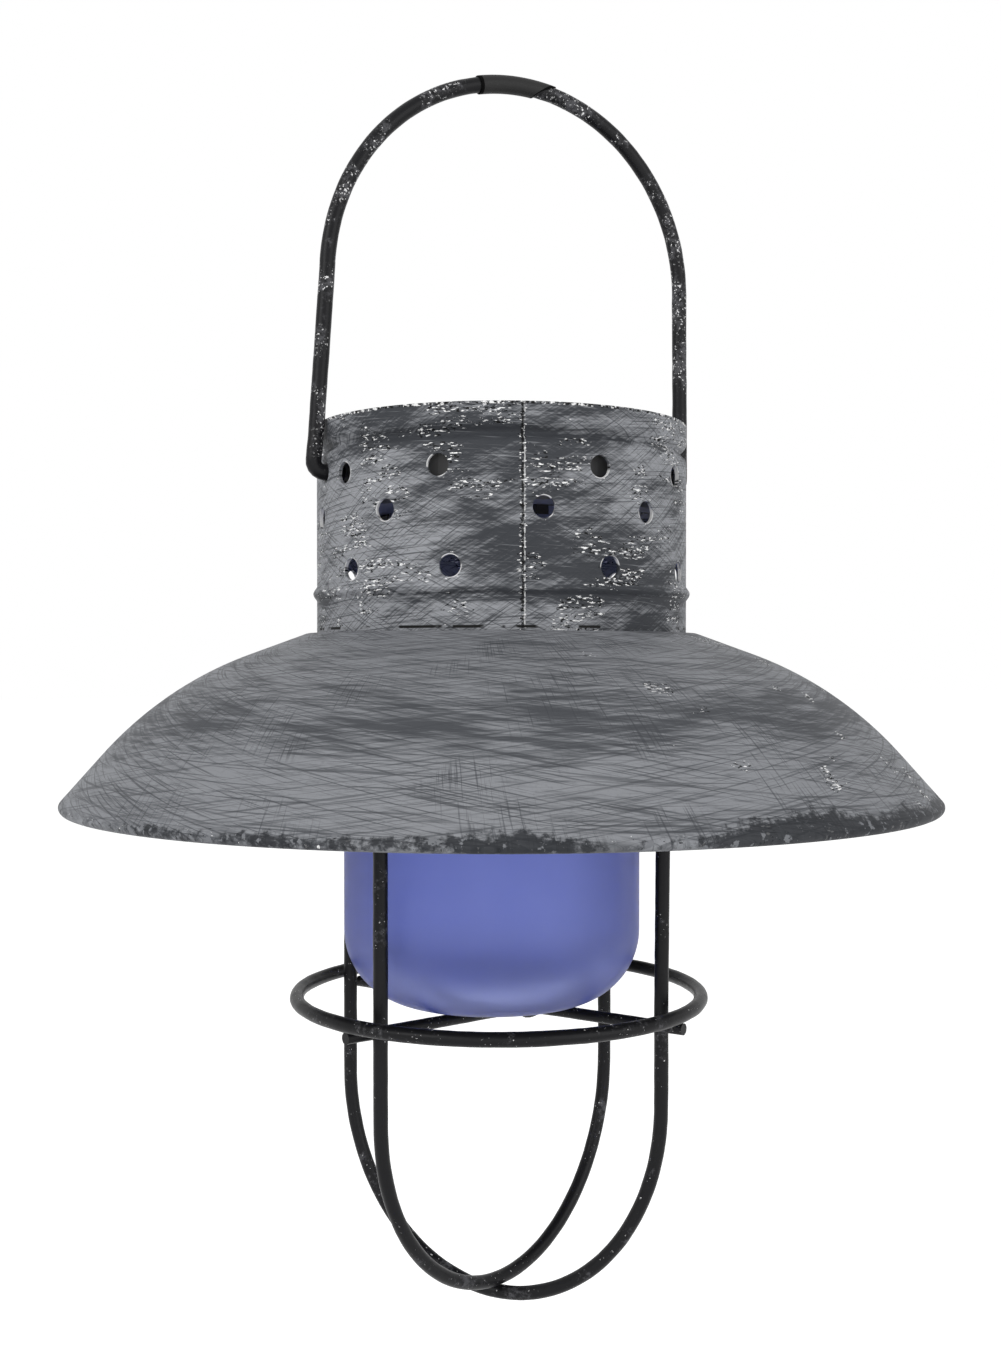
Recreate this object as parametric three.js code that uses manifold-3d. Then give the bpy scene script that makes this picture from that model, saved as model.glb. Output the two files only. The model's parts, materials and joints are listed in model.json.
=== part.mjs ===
// Solar hanging lantern: a punched sheet-metal chimney and shade on a wire bail, a wire cage
// that holds a blue glass cup, and a solar unit that drops into the top of the chimney.
// Millimetres, +Z up. The origin is the underside of the bail's crown, where a hook carries it.
// The bail swings about the X axis. Angles round the axis start at the front (-Y) towards +X.

import * as THREE from 'three';
import { mergeVertices } from 'three/addons/utils/BufferGeometryUtils.js';
import Module from 'manifold-3d';

const wasm = await Module();
wasm.setup();

// Clearances
const seatGap = 0.3;            // between pieces that rest on or are welded to each other
const fineGap = 0.15;           // between thin pieces that lie flat together

// Bail
const bailWire = 3.7;           // wire diameter
const bailRise = 97.0;          // pivot axis to the crown's centre line
const bailStandoff = 4.2;       // chimney's outside to a leg's centre line at the pivots
const bailTaper = 1.9;          // how much nearer a leg is where the arch starts
const bailLegHeight = 48.0;     // pivot axis to the start of the arch
const bailPlay = 1.2;           // how far the bail hangs to one side in its loose holes
const bailSkew = 3.2;           // how far the bail leans over at the crown, to the same side
const bailBend = 2.6;           // centre-line radius of the bend into the pivot
const bailReach = 2.2;          // how far the ends stand in past the chimney's inside
const sleeveDiameter = 4.4;     // wrapped grip over the crown
const sleeveWall = 0.2;
const sleeveLength = 18.0;
const sleeveOffset = 2.5;       // middle of the wrap, off the lantern's axis

// Chimney
const sheet = 0.8;              // thickness of chimney and shade
const chimneyRadius = 45.0;     // outside
const rimAbovePivot = 12.5;
const chimneyLength = 57.2;
const seatDrop = 6.6;           // rim to the swaged groove that carries the solar unit
const seatDepth = 1.7;
const seatHeight = 4.8;
const beadDrop = 40.4;          // rim to the outward bead
const beadDepth = 0.9;
const beadHeight = 3.6;
const holeDiameter = 5.0;
const holesPerRow = 10;
const seamGap = 47.0;           // degrees without a hole across the seam
const seamAngle = -18.1;
const seamWidth = 0.7;
const seamDepth = 0.35;
const holeRows = [              // distance below the rim, and first hole's angle past the seam
  { drop: 13.6, start: 23.0 },
  { drop: 22.9, start: 5.9 },
  { drop: 35.7, start: 26.5 },
];
const pivotClearance = 0.3;     // radial, wire in its hole

// Shade
const neckDrop = 49.9;          // chimney rim to the shade's top
const neckFlange = 5.0;         // turned-down flange against the chimney
const neckBend = 1.4;
const shadeRadius = 105.2;
const shadeTopSlope = 20.3;     // degrees below level
const shadeConeRadius = 61.0;   // where the straight top part ends
const shadeCurve = 84.4;        // radius of the curved part
const shadeEdgeSlope = 48.5;
const hemRadius = 1.0;          // centre-line radius of the rolled edge
const hemTurn = 205;            // degrees

// Cage
const cageWire = 3.4;
const hoopLegRise = 13.0;       // how far the legs reach up inside the chimney
const hoopStraight = 104.3;     // chimney's lower end to where the legs start to curve
const hoopDepth = 47.1;         // height of the curved part of the upper hoop
const upperHoopAngle = -64.5;
const lowerHoopAngle = 41.0;
const cageLean = [-0.6, 0.27];  // how far the ring and the lower hoop stand off the axis
const ringStandoff = 7.2;       // from the hoops' centre lines out to the guard ring's
const ringDrop = 81.0;          // chimney's lower end to the ring
const barWire = 2.8;
const barOverhang = -0.4;       // past the ring's centre line
const barJoggle = 4.2;          // half length of the joggle where the bars cross
const overBarAngle = -74.5;     // directions the two bars run in
const underBarAngle = 31.0;

// Glass cup
const glassPlay = 4.3;          // radial, between the cup and the hoops
const glassHeight = 94.4;
const glassWall = 2.4;
const glassFloor = 3.2;
const glassCorner = 18.0;
const glassRecess = 2.0;        // hollow inside the foot ring
const glassFoot = 1.6;          // width of the foot ring
const glassShift = [-2.19, 0.98];

// Solar unit
const unitFlangePlay = 0.8;     // radial, between the cover's edge and the chimney
const unitBodyPlay = 4.7;       // radial, leaves room for the ends of the bail
const unitDepth = 15.6;         // cover's underside to the floor's underside
const unitWall = 1.8;
const unitFloor = 2.0;
const sealThickness = 0.6;
const sealMargin = 0.3;         // seal narrower than the housing's rim, each side
const coverThickness = 3.6;
const coverEdge = 0.6;          // chamfer
const cellSize = 50.0;
const cellThickness = 0.6;
const windowThickness = 1.0;
const windowMargin = 1.4;       // window past the cell
const leadY = 6.0;              // where the cell's leads pass through the cover
const leadHole = 3.0;
const leadDiameter = 1.0;

// Fasteners of the unit
const screwCount = 3;
const screwInset = 6.5;         // from the housing's side
const screwAngle = 60.0;
const screwDiameter = 2.6;
const screwHead = 5.2;
const screwHeadHeight = 1.6;
const screwReach = 3.2;         // length inside the cover's boss
const bossWall = 1.5;
const bossDepth = 4.4;          // cover's bosses below the cover

// Battery and its compartment
const batteryDiameter = 10.5;
const batteryLength = 43.3;
const batteryNub = 1.2;
const batteryNubDiameter = 3.8;
const batteryOffset = 17.0;     // behind the LED
const springLength = 4.2;
const springDiameter = 5.6;
const springWire = 0.7;
const springTurns = 3;
const contactThickness = 0.5;
const contactHeight = 8.0;
const tailWidth = 3.0;          // solder tail of a contact, up through the compartment's roof
const tailRise = 1.6;
const compartmentWall = 1.4;
const compartmentClear = 0.5;
const doorThickness = 1.6;
const doorGap = 0.3;
const doorMargin = 0.8;         // door past the compartment at each end
const doorSideMargin = 0.9;     // and at each side
const railLip = 1.2;
const railWall = 1.4;

// Light and board
const boardSize = [30, 24, 1.2];
const boardHeight = 5.0;        // above the floor
const boardPlace = -8.0;        // middle of the board along Y
const postInset = 3.0;
const postRadius = 1.6;
const ledDiameter = 5.0;
const ledLength = 8.6;
const ledRim = 5.8;
const collarHeight = 6.0;
const collarMouth = 17.0;
const collarWall = 1.2;

// Switch
const switchPlace = [0, -26];
const switchBody = [9, 4.2, 3.6];
const switchSlot = [7.4, 2.2];
const sliderSize = [3.2, 1.6];
const sliderStick = 2.2;        // below the floor
const switchTravel = 3.4;

// Sizes and heights that follow
const chimneyInner = chimneyRadius - sheet;
const bailFoot = chimneyRadius + bailStandoff;
const bailShoulder = bailFoot - bailTaper;
const bailEnd = chimneyInner - bailReach;
const hoopRadius = chimneyInner - seatGap - cageWire / 2;
const ringRadius = hoopRadius + ringStandoff;
const glassRadius = hoopRadius - cageWire / 2 - glassPlay;
const unitFlangeRadius = chimneyInner - unitFlangePlay;
const unitBodyRadius = chimneyInner - unitBodyPlay;
const screwCircle = unitBodyRadius - screwInset;
const crownOffset = (bailPlay + bailSkew) / bailShoulder;
const crownHeight = bailLegHeight + (bailRise - bailLegHeight) * Math.sqrt(1 - crownOffset ** 2);
const pivotZ = sleeveDiameter / 2 - crownHeight;
const rimZ = pivotZ + rimAbovePivot;
const chimneyBottomZ = rimZ - chimneyLength;
const neckZ = rimZ - neckDrop;
const ringZ = chimneyBottomZ - ringDrop;
const barZ = ringZ - cageWire / 2 - barWire / 2 - seatGap;
const glassZ = barZ + barWire / 2 + seatGap;
const seatSlope = Math.acos(2 * unitFlangePlay / seatDepth - 1) / Math.PI;
const coverZ = rimZ - seatDrop + seatSlope * seatHeight / 2 + seatGap;
const coverTopZ = coverZ + coverThickness;
const sealZ = coverZ - fineGap - sealThickness;
const housingTopZ = sealZ - fineGap;
const floorZ = coverZ - unitDepth;
const windowZ = coverTopZ - windowThickness;
const cellZ = windowZ - fineGap - cellThickness;

const lantern = new THREE.Group();

// Materials
function finish(color, roughness, metalness, opacity = 1) {
  return new THREE.MeshStandardMaterial({
    color, roughness, metalness, opacity, transparent: opacity < 1,
  });
}

const zinc = () => finish(0x74787c, 0.6, 0.7);
const darkWire = () => finish(0x34363a, 0.6, 0.6);
const blueGlass = () => finish(0x5f66b0, 0.15, 0, 0.55);
const blackPlastic = () => finish(0x1d1e20, 0.5, 0);
const greyPlastic = () => finish(0x4a4c50, 0.55, 0);
const steel = () => finish(0xb4b6b8, 0.3, 1);

function add(name, geometry, material) {
  const mesh = new THREE.Mesh(geometry, material);
  mesh.name = name;
  lantern.add(mesh);
  return mesh;
}

// Solids
function signedVolume(geometry) {
  const p = geometry.attributes.position;
  const index = geometry.index.array;
  const [a, b, c] = [new THREE.Vector3(), new THREE.Vector3(), new THREE.Vector3()];
  let sum = 0;
  for (let i = 0; i < index.length; i += 3) {
    a.fromBufferAttribute(p, index[i]);
    b.fromBufferAttribute(p, index[i + 1]);
    c.fromBufferAttribute(p, index[i + 2]);
    sum += a.dot(b.cross(c));
  }
  return sum;
}

// A closed geometry with shared corners, no collapsed faces, and its faces pointing out.
function closed(geometry) {
  const bare = new THREE.BufferGeometry();
  bare.setAttribute('position', geometry.attributes.position);
  if (geometry.index) bare.setIndex(geometry.index);
  const merged = mergeVertices(bare, 1e-4);
  const source = merged.index.array;
  const kept = [];
  for (let i = 0; i < source.length; i += 3) {
    const [a, b, c] = [source[i], source[i + 1], source[i + 2]];
    if (a !== b && b !== c && c !== a) kept.push(a, b, c);
  }
  merged.setIndex(kept);
  if (signedVolume(merged) < 0) merged.setIndex(kept.reverse());
  return merged;
}

function toSolid(geometry) {
  const body = closed(geometry);
  return new wasm.Manifold(new wasm.Mesh({
    numProp: 3,
    vertProperties: new Float32Array(body.attributes.position.array),
    triVerts: new Uint32Array(body.index.array),
  }));
}

function toGeometry(solid) {
  const mesh = solid.getMesh();
  const geometry = new THREE.BufferGeometry();
  geometry.setAttribute('position', new THREE.BufferAttribute(mesh.vertProperties, 3));
  geometry.setIndex(new THREE.BufferAttribute(mesh.triVerts, 1));
  return geometry;
}

function join(...geometries) {
  return geometries.map(toSolid).reduce((whole, part) => whole.add(part));
}

function cut(solid, ...tools) {
  return tools.map(toSolid).reduce((rest, tool) => rest.subtract(tool), solid);
}

// A profile of [radius, height] points, revolved about Z.
function revolve(profile, segments) {
  const points = profile.map(([r, z]) => new THREE.Vector2(Math.max(r, 0), z));
  points.push(points[0].clone());
  return closed(new THREE.LatheGeometry(points, segments).rotateX(Math.PI / 2));
}

function block(size, centre) {
  return new THREE.BoxGeometry(...size).translate(...centre);
}

function rod(radius, z0, z1, x = 0, y = 0, sides = 24) {
  return new THREE.CylinderGeometry(radius, radius, z1 - z0, sides)
    .rotateX(Math.PI / 2).translate(x, y, (z0 + z1) / 2);
}

function ringSolid(inner, outer, z0, z1, segments) {
  return revolve([[inner, z0], [outer, z0], [outer, z1], [inner, z1]], segments);
}

const radians = THREE.MathUtils.degToRad;

// A point at a radius and an angle round the axis, from the front towards +X.
function around(radius, degrees) {
  return [radius * Math.sin(radians(degrees)), -radius * Math.cos(radians(degrees))];
}

// Points of an arc in a plane, angles in degrees, both ends included.
function arc(cx, cy, radius, from, to, steps) {
  return Array.from({ length: steps + 1 }, (_, i) => {
    const a = radians(from + (to - from) * i / steps);
    return [cx + radius * Math.cos(a), cy + radius * Math.sin(a)];
  });
}

// The closed outline of a sheet whose middle follows a line of [radius, height] points.
function sheetOutline(line, thickness) {
  const side = (sign) => line.map(([x, y], i) => {
    const [ax, ay] = line[Math.max(i - 1, 0)];
    const [bx, by] = line[Math.min(i + 1, line.length - 1)];
    const length = Math.hypot(bx - ax, by - ay);
    const half = sign * thickness / 2 / length;
    return [x - (by - ay) * half, y + (bx - ax) * half];
  });
  return [...side(1), ...side(-1).reverse()];
}

// Wire that runs exactly through the given points.
class WirePath extends THREE.Curve {
  constructor(points) {
    super();
    this.points = points;
  }

  getPoint(t) {
    const place = t * (this.points.length - 1);
    const i = Math.min(Math.floor(place), this.points.length - 2);
    return this.points[i].clone().lerp(this.points[i + 1], place - i);
  }

  getPointAt(t) {
    return this.getPoint(t);
  }

  getTangentAt(t) {
    const last = this.points.length - 1;
    const i = Math.round(t * last);
    const before = this.points[Math.max(i - 1, 0)];
    const after = this.points[Math.min(i + 1, last)];
    return after.clone().sub(before).normalize();
  }
}

function circle(radius, sides) {
  return new THREE.Shape(arc(0, 0, radius, 0, 360, sides).slice(0, -1)
    .map(([x, y]) => new THREE.Vector2(x, y)));
}

function wire(points, radius, sides = 8) {
  const path = new WirePath(points.map(([x, y, z]) => new THREE.Vector3(x, y, z)));
  const options = { steps: points.length - 1, extrudePath: path, bevelEnabled: false };
  return new THREE.ExtrudeGeometry(circle(radius, sides), options);
}

// Bail
function bailHalfWidth(height) {
  if (height <= bailLegHeight) {
    return bailFoot + (bailShoulder - bailFoot) * height / bailLegHeight;
  }
  const share = (height - bailLegHeight) / (bailRise - bailLegHeight);
  return bailShoulder * Math.sqrt(Math.max(0, 1 - share * share));
}

function bailPoint(side, height) {
  const skew = bailSkew * height / bailRise;
  return [side * bailHalfWidth(height) + bailPlay + skew, 0, pivotZ + height];
}

function bailFootPoints(side) {
  const bendX = bailFoot - bailBend;
  const bend = arc(bendX, bailBend, bailBend, -90, 0, 4);
  const ends = [[bailEnd, 0], [(bailEnd + bendX) / 2, 0]];
  return [...ends, ...bend].map(([x, h]) => [side * x + bailPlay, 0, pivotZ + h]);
}

function bailPoints() {
  const leg = [16, 32, bailLegHeight];
  const arch = Array.from({ length: 12 }, (_, i) => {
    const turn = Math.PI / 2 * (i + 1) / 13;
    return bailLegHeight + (bailRise - bailLegHeight) * Math.sin(turn);
  });
  const side = (s) => [...bailFootPoints(s), ...[...leg, ...arch].map((h) => bailPoint(s, h))];
  return [...side(-1), bailPoint(0, bailRise), ...side(1).reverse()];
}

function crownSleeve() {
  const half = sleeveLength / 2;
  const crown = Array.from({ length: 7 }, (_, i) => {
    const x = sleeveOffset - half + sleeveLength * i / 6;
    const local = (x - bailPlay - bailSkew) / bailShoulder;
    const height = bailLegHeight + (bailRise - bailLegHeight) * Math.sqrt(1 - local * local);
    return [x, 0, pivotZ + height];
  });
  const outer = toSolid(wire(crown, sleeveDiameter / 2, 8));
  const bore = sleeveDiameter / 2 - sleeveWall;
  const first = crown[0].map((v, i) => v + (v - crown[1][i]));
  const last = crown[6].map((v, i) => v + (v - crown[5][i]));
  return toGeometry(cut(outer, wire([first, ...crown, last], bore, 8)));
}

// Chimney
function chimneyLine() {
  const wave = (drop, height, depth) => [-1, -0.4, 0.4, 1].map((s) => {
    const lift = (1 + Math.cos(Math.PI * s)) / 2;
    return [chimneyRadius - sheet / 2 + depth * lift, rimZ - drop - s * height / 2];
  });
  const plain = chimneyRadius - sheet / 2;
  return [
    [plain, rimZ],
    ...wave(seatDrop, seatHeight, -seatDepth),
    ...wave(beadDrop, beadHeight, beadDepth),
    [plain, chimneyBottomZ],
  ];
}

function radialHole(radius, z, degrees, sides) {
  const [x, y] = around(chimneyRadius, degrees);
  return new THREE.CylinderGeometry(radius, radius, 8, sides)
    .rotateZ(Math.PI / 2).rotateZ(radians(degrees - 90)).translate(x, y, z);
}

// The lap seam shows as a fine line on the plain stretches between groove and bead.
function seamCuts() {
  const [x, y] = around(chimneyRadius, seamAngle);
  const spans = [
    [-1, seatDrop - seatHeight / 2],
    [seatDrop + seatHeight / 2, beadDrop - beadHeight / 2],
    [beadDrop + beadHeight / 2, chimneyLength + 1],
  ];
  return spans.map(([top, bottom]) => (
    new THREE.BoxGeometry(seamWidth, 2 * seamDepth, bottom - top)
      .rotateZ(radians(seamAngle)).translate(x, y, rimZ - (top + bottom) / 2)));
}

function chimney() {
  const shell = toSolid(revolve(sheetOutline(chimneyLine(), sheet), 44));
  const pitch = (360 - seamGap) / (holesPerRow - 1);
  const holes = holeRows.flatMap(({ drop, start }) => (
    Array.from({ length: holesPerRow }, (_, i) => (
      radialHole(holeDiameter / 2, rimZ - drop, seamAngle + start + i * pitch, 8)
    ))
  ));
  const pivotHole = bailWire / 2 + pivotClearance;
  const pivots = [-90, 90].map((degrees) => radialHole(pivotHole, pivotZ, degrees, 12));
  return toGeometry(cut(shell, ...holes, ...pivots, ...seamCuts()));
}

// Shade
function shadeLine() {
  const neck = chimneyRadius + seatGap + sheet / 2;
  const top = neckZ - sheet / 2;
  const topSlope = radians(shadeTopSlope);
  const bend = arc(neck + neckBend, top - neckBend, neckBend, 180, 90 - shadeTopSlope, 2);
  const [bx, bz] = bend[bend.length - 1];
  const coneZ = bz - (shadeConeRadius - bx) * Math.tan(topSlope);
  const curveX = shadeConeRadius - shadeCurve * Math.sin(topSlope);
  const curveZ = coneZ - shadeCurve * Math.cos(topSlope);
  const curve = arc(curveX, curveZ, shadeCurve, 90 - shadeTopSlope, 90 - shadeEdgeSlope, 4);
  const [ex, ez] = curve[curve.length - 1];
  const edge = radians(shadeEdgeSlope);
  const hemX = shadeRadius - hemRadius - sheet / 2;
  const startX = hemX + hemRadius * Math.sin(edge);
  const startZ = ez - (startX - ex) * Math.tan(edge);
  const hemZ = startZ - hemRadius * Math.cos(edge);
  const start = 90 - shadeEdgeSlope;
  const hem = arc(hemX, hemZ, hemRadius, start, start - hemTurn, 5);
  return [[neck, top - neckBend - neckFlange], ...bend, ...curve, ...hem];
}

function shade() {
  return toGeometry(toSolid(revolve(sheetOutline(shadeLine(), sheet), 50)));
}

// Cage
function hoop(angle, depth, lean) {
  const curveZ = chimneyBottomZ - hoopStraight;
  const leg = [chimneyBottomZ + hoopLegRise, ringZ];
  const curve = arc(0, 0, 1, 0, -180, 18).map(([c, s]) => [c * hoopRadius, curveZ + s * depth]);
  const near = leg.map((z) => [hoopRadius, z]);
  const far = [...leg].reverse().map((z) => [-hoopRadius, z]);
  const points = [...near, ...curve, ...far].map(([r, z]) => {
    const share = THREE.MathUtils.clamp((chimneyBottomZ - z) / ringDrop, 0, 1);
    const [x, y] = around(r, angle);
    return [x + lean[0] * share, y + lean[1] * share, z];
  });
  return wire(points, cageWire / 2, 8);
}

function guardRing() {
  return new THREE.TorusGeometry(ringRadius, cageWire / 2, 8, 40).translate(...cageLean, ringZ);
}

// A bar runs beside one leg of a hoop. Its line in plan: a point, and the direction it runs in.
function barLine(legAngle, barAngle, lean) {
  const run = new THREE.Vector2(...around(1, barAngle));
  const across = new THREE.Vector2(run.y, -run.x);
  const leg = new THREE.Vector2(...around(hoopRadius, legAngle)).add(new THREE.Vector2(...lean));
  return { start: leg.addScaledVector(across, (cageWire + barWire) / 2 + seatGap), run };
}

const overBar = barLine(upperHoopAngle, overBarAngle, [0, 0]);
const underBar = barLine(lowerHoopAngle, underBarAngle, cageLean);

// A bar's ends under the ring, before and after its middle.
function barEnds({ start, run }) {
  const along = start.dot(run);
  const reach = Math.sqrt((ringRadius + barOverhang) ** 2 - start.lengthSq() + along ** 2);
  return [-along - reach, -along + reach].map((s) => start.clone().addScaledVector(run, s));
}

// From one end to the other, with a joggle up or down where the two bars cross.
function crossBar(from, crossing, to, sign) {
  const lift = sign * (barWire + seatGap) / 2;
  const joggle = Array.from({ length: 9 }, (_, i) => (i - 4) / 4).map((s) => {
    const end = s < 0 ? from : to;
    const away = end.clone().sub(crossing).normalize().multiplyScalar(barJoggle * Math.abs(s));
    const place = crossing.clone().add(away);
    return [place.x, place.y, barZ + lift * (1 + Math.cos(Math.PI * s)) / 2];
  });
  return wire([[from.x, from.y, barZ], ...joggle, [to.x, to.y, barZ]], barWire / 2, 8);
}

function crossBars() {
  const away = underBar.start.clone().sub(overBar.start);
  const share = away.cross(underBar.run) / overBar.run.cross(underBar.run);
  const crossing = overBar.start.clone().addScaledVector(overBar.run, share);
  const farLeg = hoopRadius - cageWire / 2 - 2 * seatGap;
  const farEnd = new THREE.Vector2(...around(farLeg, upperHoopAngle + 180));
  const [underFrom, underTo] = barEnds(underBar);
  return {
    over: crossBar(barEnds(overBar)[1], crossing, farEnd, 1),
    under: crossBar(underFrom, crossing, underTo, -1),
  };
}

// Glass cup
function glassCup() {
  const foot = glassRadius - glassCorner;
  const inner = glassRadius - glassWall;
  const innerCorner = glassCorner - glassWall;
  const floor = glassRecess + glassFloor;
  const top = glassHeight - glassWall / 2;
  const lip = arc(glassRadius - glassWall / 2, top, glassWall / 2, 0, 180, 3);
  const profile = [
    [0, glassRecess],
    [foot - glassFoot - glassRecess, glassRecess],
    [foot - glassFoot, 0],
    ...arc(foot, glassCorner, glassCorner, -90, 0, 6),
    ...lip,
    ...arc(inner - innerCorner, floor + innerCorner, innerCorner, 0, -90, 5),
    [0, floor],
  ];
  const cup = revolve(profile.map(([r, z]) => [r, z + glassZ]), 36);
  return toGeometry(toSolid(cup.translate(...glassShift, 0)));
}

// Solar unit
const floorTop = floorZ + unitFloor;
const batteryZ = floorZ + compartmentClear + batteryDiameter / 2;
const compartmentLength = batteryLength + batteryNub + springLength + 2 * contactThickness
  + 4 * fineGap;
const compartmentWidth = batteryDiameter + 2 * compartmentClear;
const compartmentTop = batteryZ + batteryDiameter / 2 + compartmentClear;
const roofZ = compartmentTop + compartmentWall;
const compartmentStart = -compartmentLength / 2;
const contactX = compartmentLength / 2 - fineGap - contactThickness / 2;
const batteryX = compartmentStart + contactThickness + 2 * fineGap + springLength
  + batteryLength / 2;
const doorWidth = compartmentWidth + 2 * doorSideMargin;
const doorLength = compartmentLength + 2 * doorMargin;
const doorZ = floorZ - doorGap - doorThickness;
const screws = Array.from({ length: screwCount }, (_, i) => (
  around(screwCircle, screwAngle + 360 * i / screwCount)
));

function doorRail(side) {
  const edge = side * (doorWidth / 2 + doorGap);
  const wallY = edge + side * railWall / 2;
  const drop = doorThickness + 2 * doorGap;
  const wall = block([doorLength, railWall, drop + railLip + 1],
    [0, batteryOffset + wallY, floorZ - (drop + railLip - 1) / 2]);
  const lip = block([doorLength, railWall + railLip, railLip],
    [0, batteryOffset + edge + side * (railWall - railLip) / 2, floorZ - drop - railLip / 2]);
  return [wall, lip];
}

function unitHousing() {
  const body = revolve([
    [0, floorZ], [unitBodyRadius - 1.2, floorZ], [unitBodyRadius, floorZ + 1.2],
    [unitBodyRadius, housingTopZ], [unitBodyRadius - unitWall, housingTopZ],
    [unitBodyRadius - unitWall, floorTop], [0, floorTop],
  ], 40);
  const tub = block(
    [compartmentLength + 2 * compartmentWall, compartmentWidth + 2 * compartmentWall,
      roofZ - floorZ - 0.5],
    [0, batteryOffset, (roofZ + floorZ + 0.5) / 2]);
  const postTop = coverZ - bossDepth - seatGap;
  const posts = screws.map(([x, y]) => (
    rod(screwDiameter / 2 + bossWall + 0.3, floorZ + 0.5, postTop, x, y, 16)));
  const [bx, by] = boardSize;
  const boardPosts = [[-1, -1], [1, -1], [-1, 1], [1, 1]].map(([sx, sy]) => (
    rod(postRadius, floorZ + 0.5, floorTop + boardHeight - seatGap,
      sx * (bx / 2 - postInset), boardPlace + sy * (by / 2 - postInset), 12)));
  const solid = join(body, tub, ...posts, ...boardPosts, ...doorRail(-1), ...doorRail(1));
  const hollow = block([compartmentLength, compartmentWidth, compartmentTop - floorZ + 1],
    [0, batteryOffset, (compartmentTop + floorZ) / 2 - 0.5]);
  const screwBores = screws.map(([x, y]) => (
    rod(screwDiameter / 2 + seatGap, floorZ - 1, coverZ, x, y, 16)));
  const counterbores = screws.map(([x, y]) => (
    rod(screwHead / 2 + seatGap, floorZ - 1, floorZ + screwHeadHeight + seatGap, x, y, 16)));
  const ledHole = rod(ledRim / 2 + seatGap, floorZ - 1, floorTop + 1, 0, 0, 20);
  const slot = block([...switchSlot, unitFloor + 2], [...switchPlace, floorZ + unitFloor / 2]);
  const tailSlots = [-1, 1].map((s) => (
    block([contactThickness + 2 * fineGap, tailWidth + 2 * fineGap, compartmentWall + 2],
      [s * contactX, batteryOffset, roofZ - compartmentWall / 2])));
  return toGeometry(cut(solid, hollow, ...screwBores, ...counterbores, ledHole, slot,
    ...tailSlots));
}

function unitCover() {
  const r = unitFlangeRadius;
  const plate = revolve([
    [0, coverZ], [r, coverZ], [r, coverTopZ - coverEdge], [r - coverEdge, coverTopZ],
    [0, coverTopZ],
  ], 40);
  const bosses = screws.map(([x, y]) => (
    rod(screwDiameter / 2 + bossWall, coverZ - bossDepth, coverZ + 0.5, x, y, 16)));
  const solid = join(plate, ...bosses);
  const opening = cellSize + 2 * (windowMargin + fineGap);
  const pocketFloor = cellZ - fineGap;
  const pocket = block([opening, opening, coverTopZ - pocketFloor + 1],
    [0, 0, (coverTopZ + pocketFloor + 1) / 2]);
  const bores = screws.map(([x, y]) => (
    rod(screwDiameter / 2 + fineGap, coverZ - bossDepth - 1, coverZ - bossDepth + screwReach + 0.6,
      x, y, 16)));
  const lead = rod(leadHole / 2, coverZ - 1, coverTopZ, 0, leadY, 12);
  return toGeometry(cut(solid, pocket, ...bores, lead));
}

function caseScrew([x, y]) {
  const headZ = floorZ + screwHeadHeight;
  const head = rod(screwHead / 2, floorZ, headZ, x, y, 16);
  const shank = rod(screwDiameter / 2, headZ - 0.2, coverZ - bossDepth + screwReach, x, y, 10);
  const slot = block([screwHead + 1, 0.8, 1.2], [x, y, floorZ]);
  return toGeometry(cut(join(head, shank), slot));
}

function battery() {
  const x0 = batteryX - batteryLength / 2;
  const x1 = batteryX + batteryLength / 2;
  const r = batteryDiameter / 2;
  const n = batteryNubDiameter / 2;
  const can = revolve([
    [0, x0], [r - 0.4, x0], [r, x0 + 0.4], [r, x1 - 0.4], [r - 0.4, x1], [n, x1],
    [n, x1 + batteryNub], [0, x1 + batteryNub],
  ], 20);
  return can.rotateY(Math.PI / 2).translate(0, batteryOffset, batteryZ);
}

function contactPlate(x) {
  const plate = block([contactThickness, compartmentWidth - 2 * fineGap, contactHeight],
    [x, batteryOffset, batteryZ]);
  const tailTop = roofZ + tailRise;
  const tail = block([contactThickness, tailWidth, tailTop - batteryZ],
    [x, batteryOffset, (tailTop + batteryZ) / 2]);
  return toGeometry(join(plate, tail));
}

function batterySpring() {
  const x0 = compartmentStart + contactThickness + 2 * fineGap;
  const run = springLength - fineGap - springWire;
  const radius = (springDiameter - springWire) / 2;
  const steps = springTurns * 10;
  const coil = Array.from({ length: steps + 1 }, (_, i) => {
    const turn = 2 * Math.PI * springTurns * i / steps;
    const taper = radius * (1 - 0.35 * i / steps);
    return [x0 + springWire / 2 + run * i / steps,
      batteryOffset + taper * Math.cos(turn), batteryZ + taper * Math.sin(turn)];
  });
  return wire(coil, springWire / 2, 5);
}

function batteryDoor() {
  const plate = block([doorLength, doorWidth, doorThickness],
    [0, batteryOffset, doorZ + doorThickness / 2]);
  const grips = Array.from({ length: 4 }, (_, i) => (
    block([1.0, doorWidth * 0.45, 1.2], [doorLength / 2 - 4 - 2.4 * i, batteryOffset, doorZ])));
  return toGeometry(cut(toSolid(plate), ...grips));
}

function board() {
  const [bx, by, bz] = boardSize;
  return block([bx, by, bz], [0, boardPlace, floorTop + boardHeight + bz / 2]);
}

function led() {
  const r = ledDiameter / 2;
  const top = floorTop + boardHeight - seatGap;
  const tip = top - ledLength;
  const dome = arc(0, tip + r, r, -90, 0, 4);
  return revolve([
    ...dome, [r, top - 1.0], [ledRim / 2, top - 1.0], [ledRim / 2, top], [0, top],
  ], 16);
}

function lightCollar() {
  const base = ledRim / 2 + seatGap;
  const topZ = floorZ - seatGap;
  const mouth = collarMouth / 2;
  return revolve([
    [base, topZ], [base + collarWall + 1.6, topZ], [mouth + collarWall, topZ - collarHeight],
    [mouth, topZ - collarHeight],
  ], 24);
}

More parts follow.
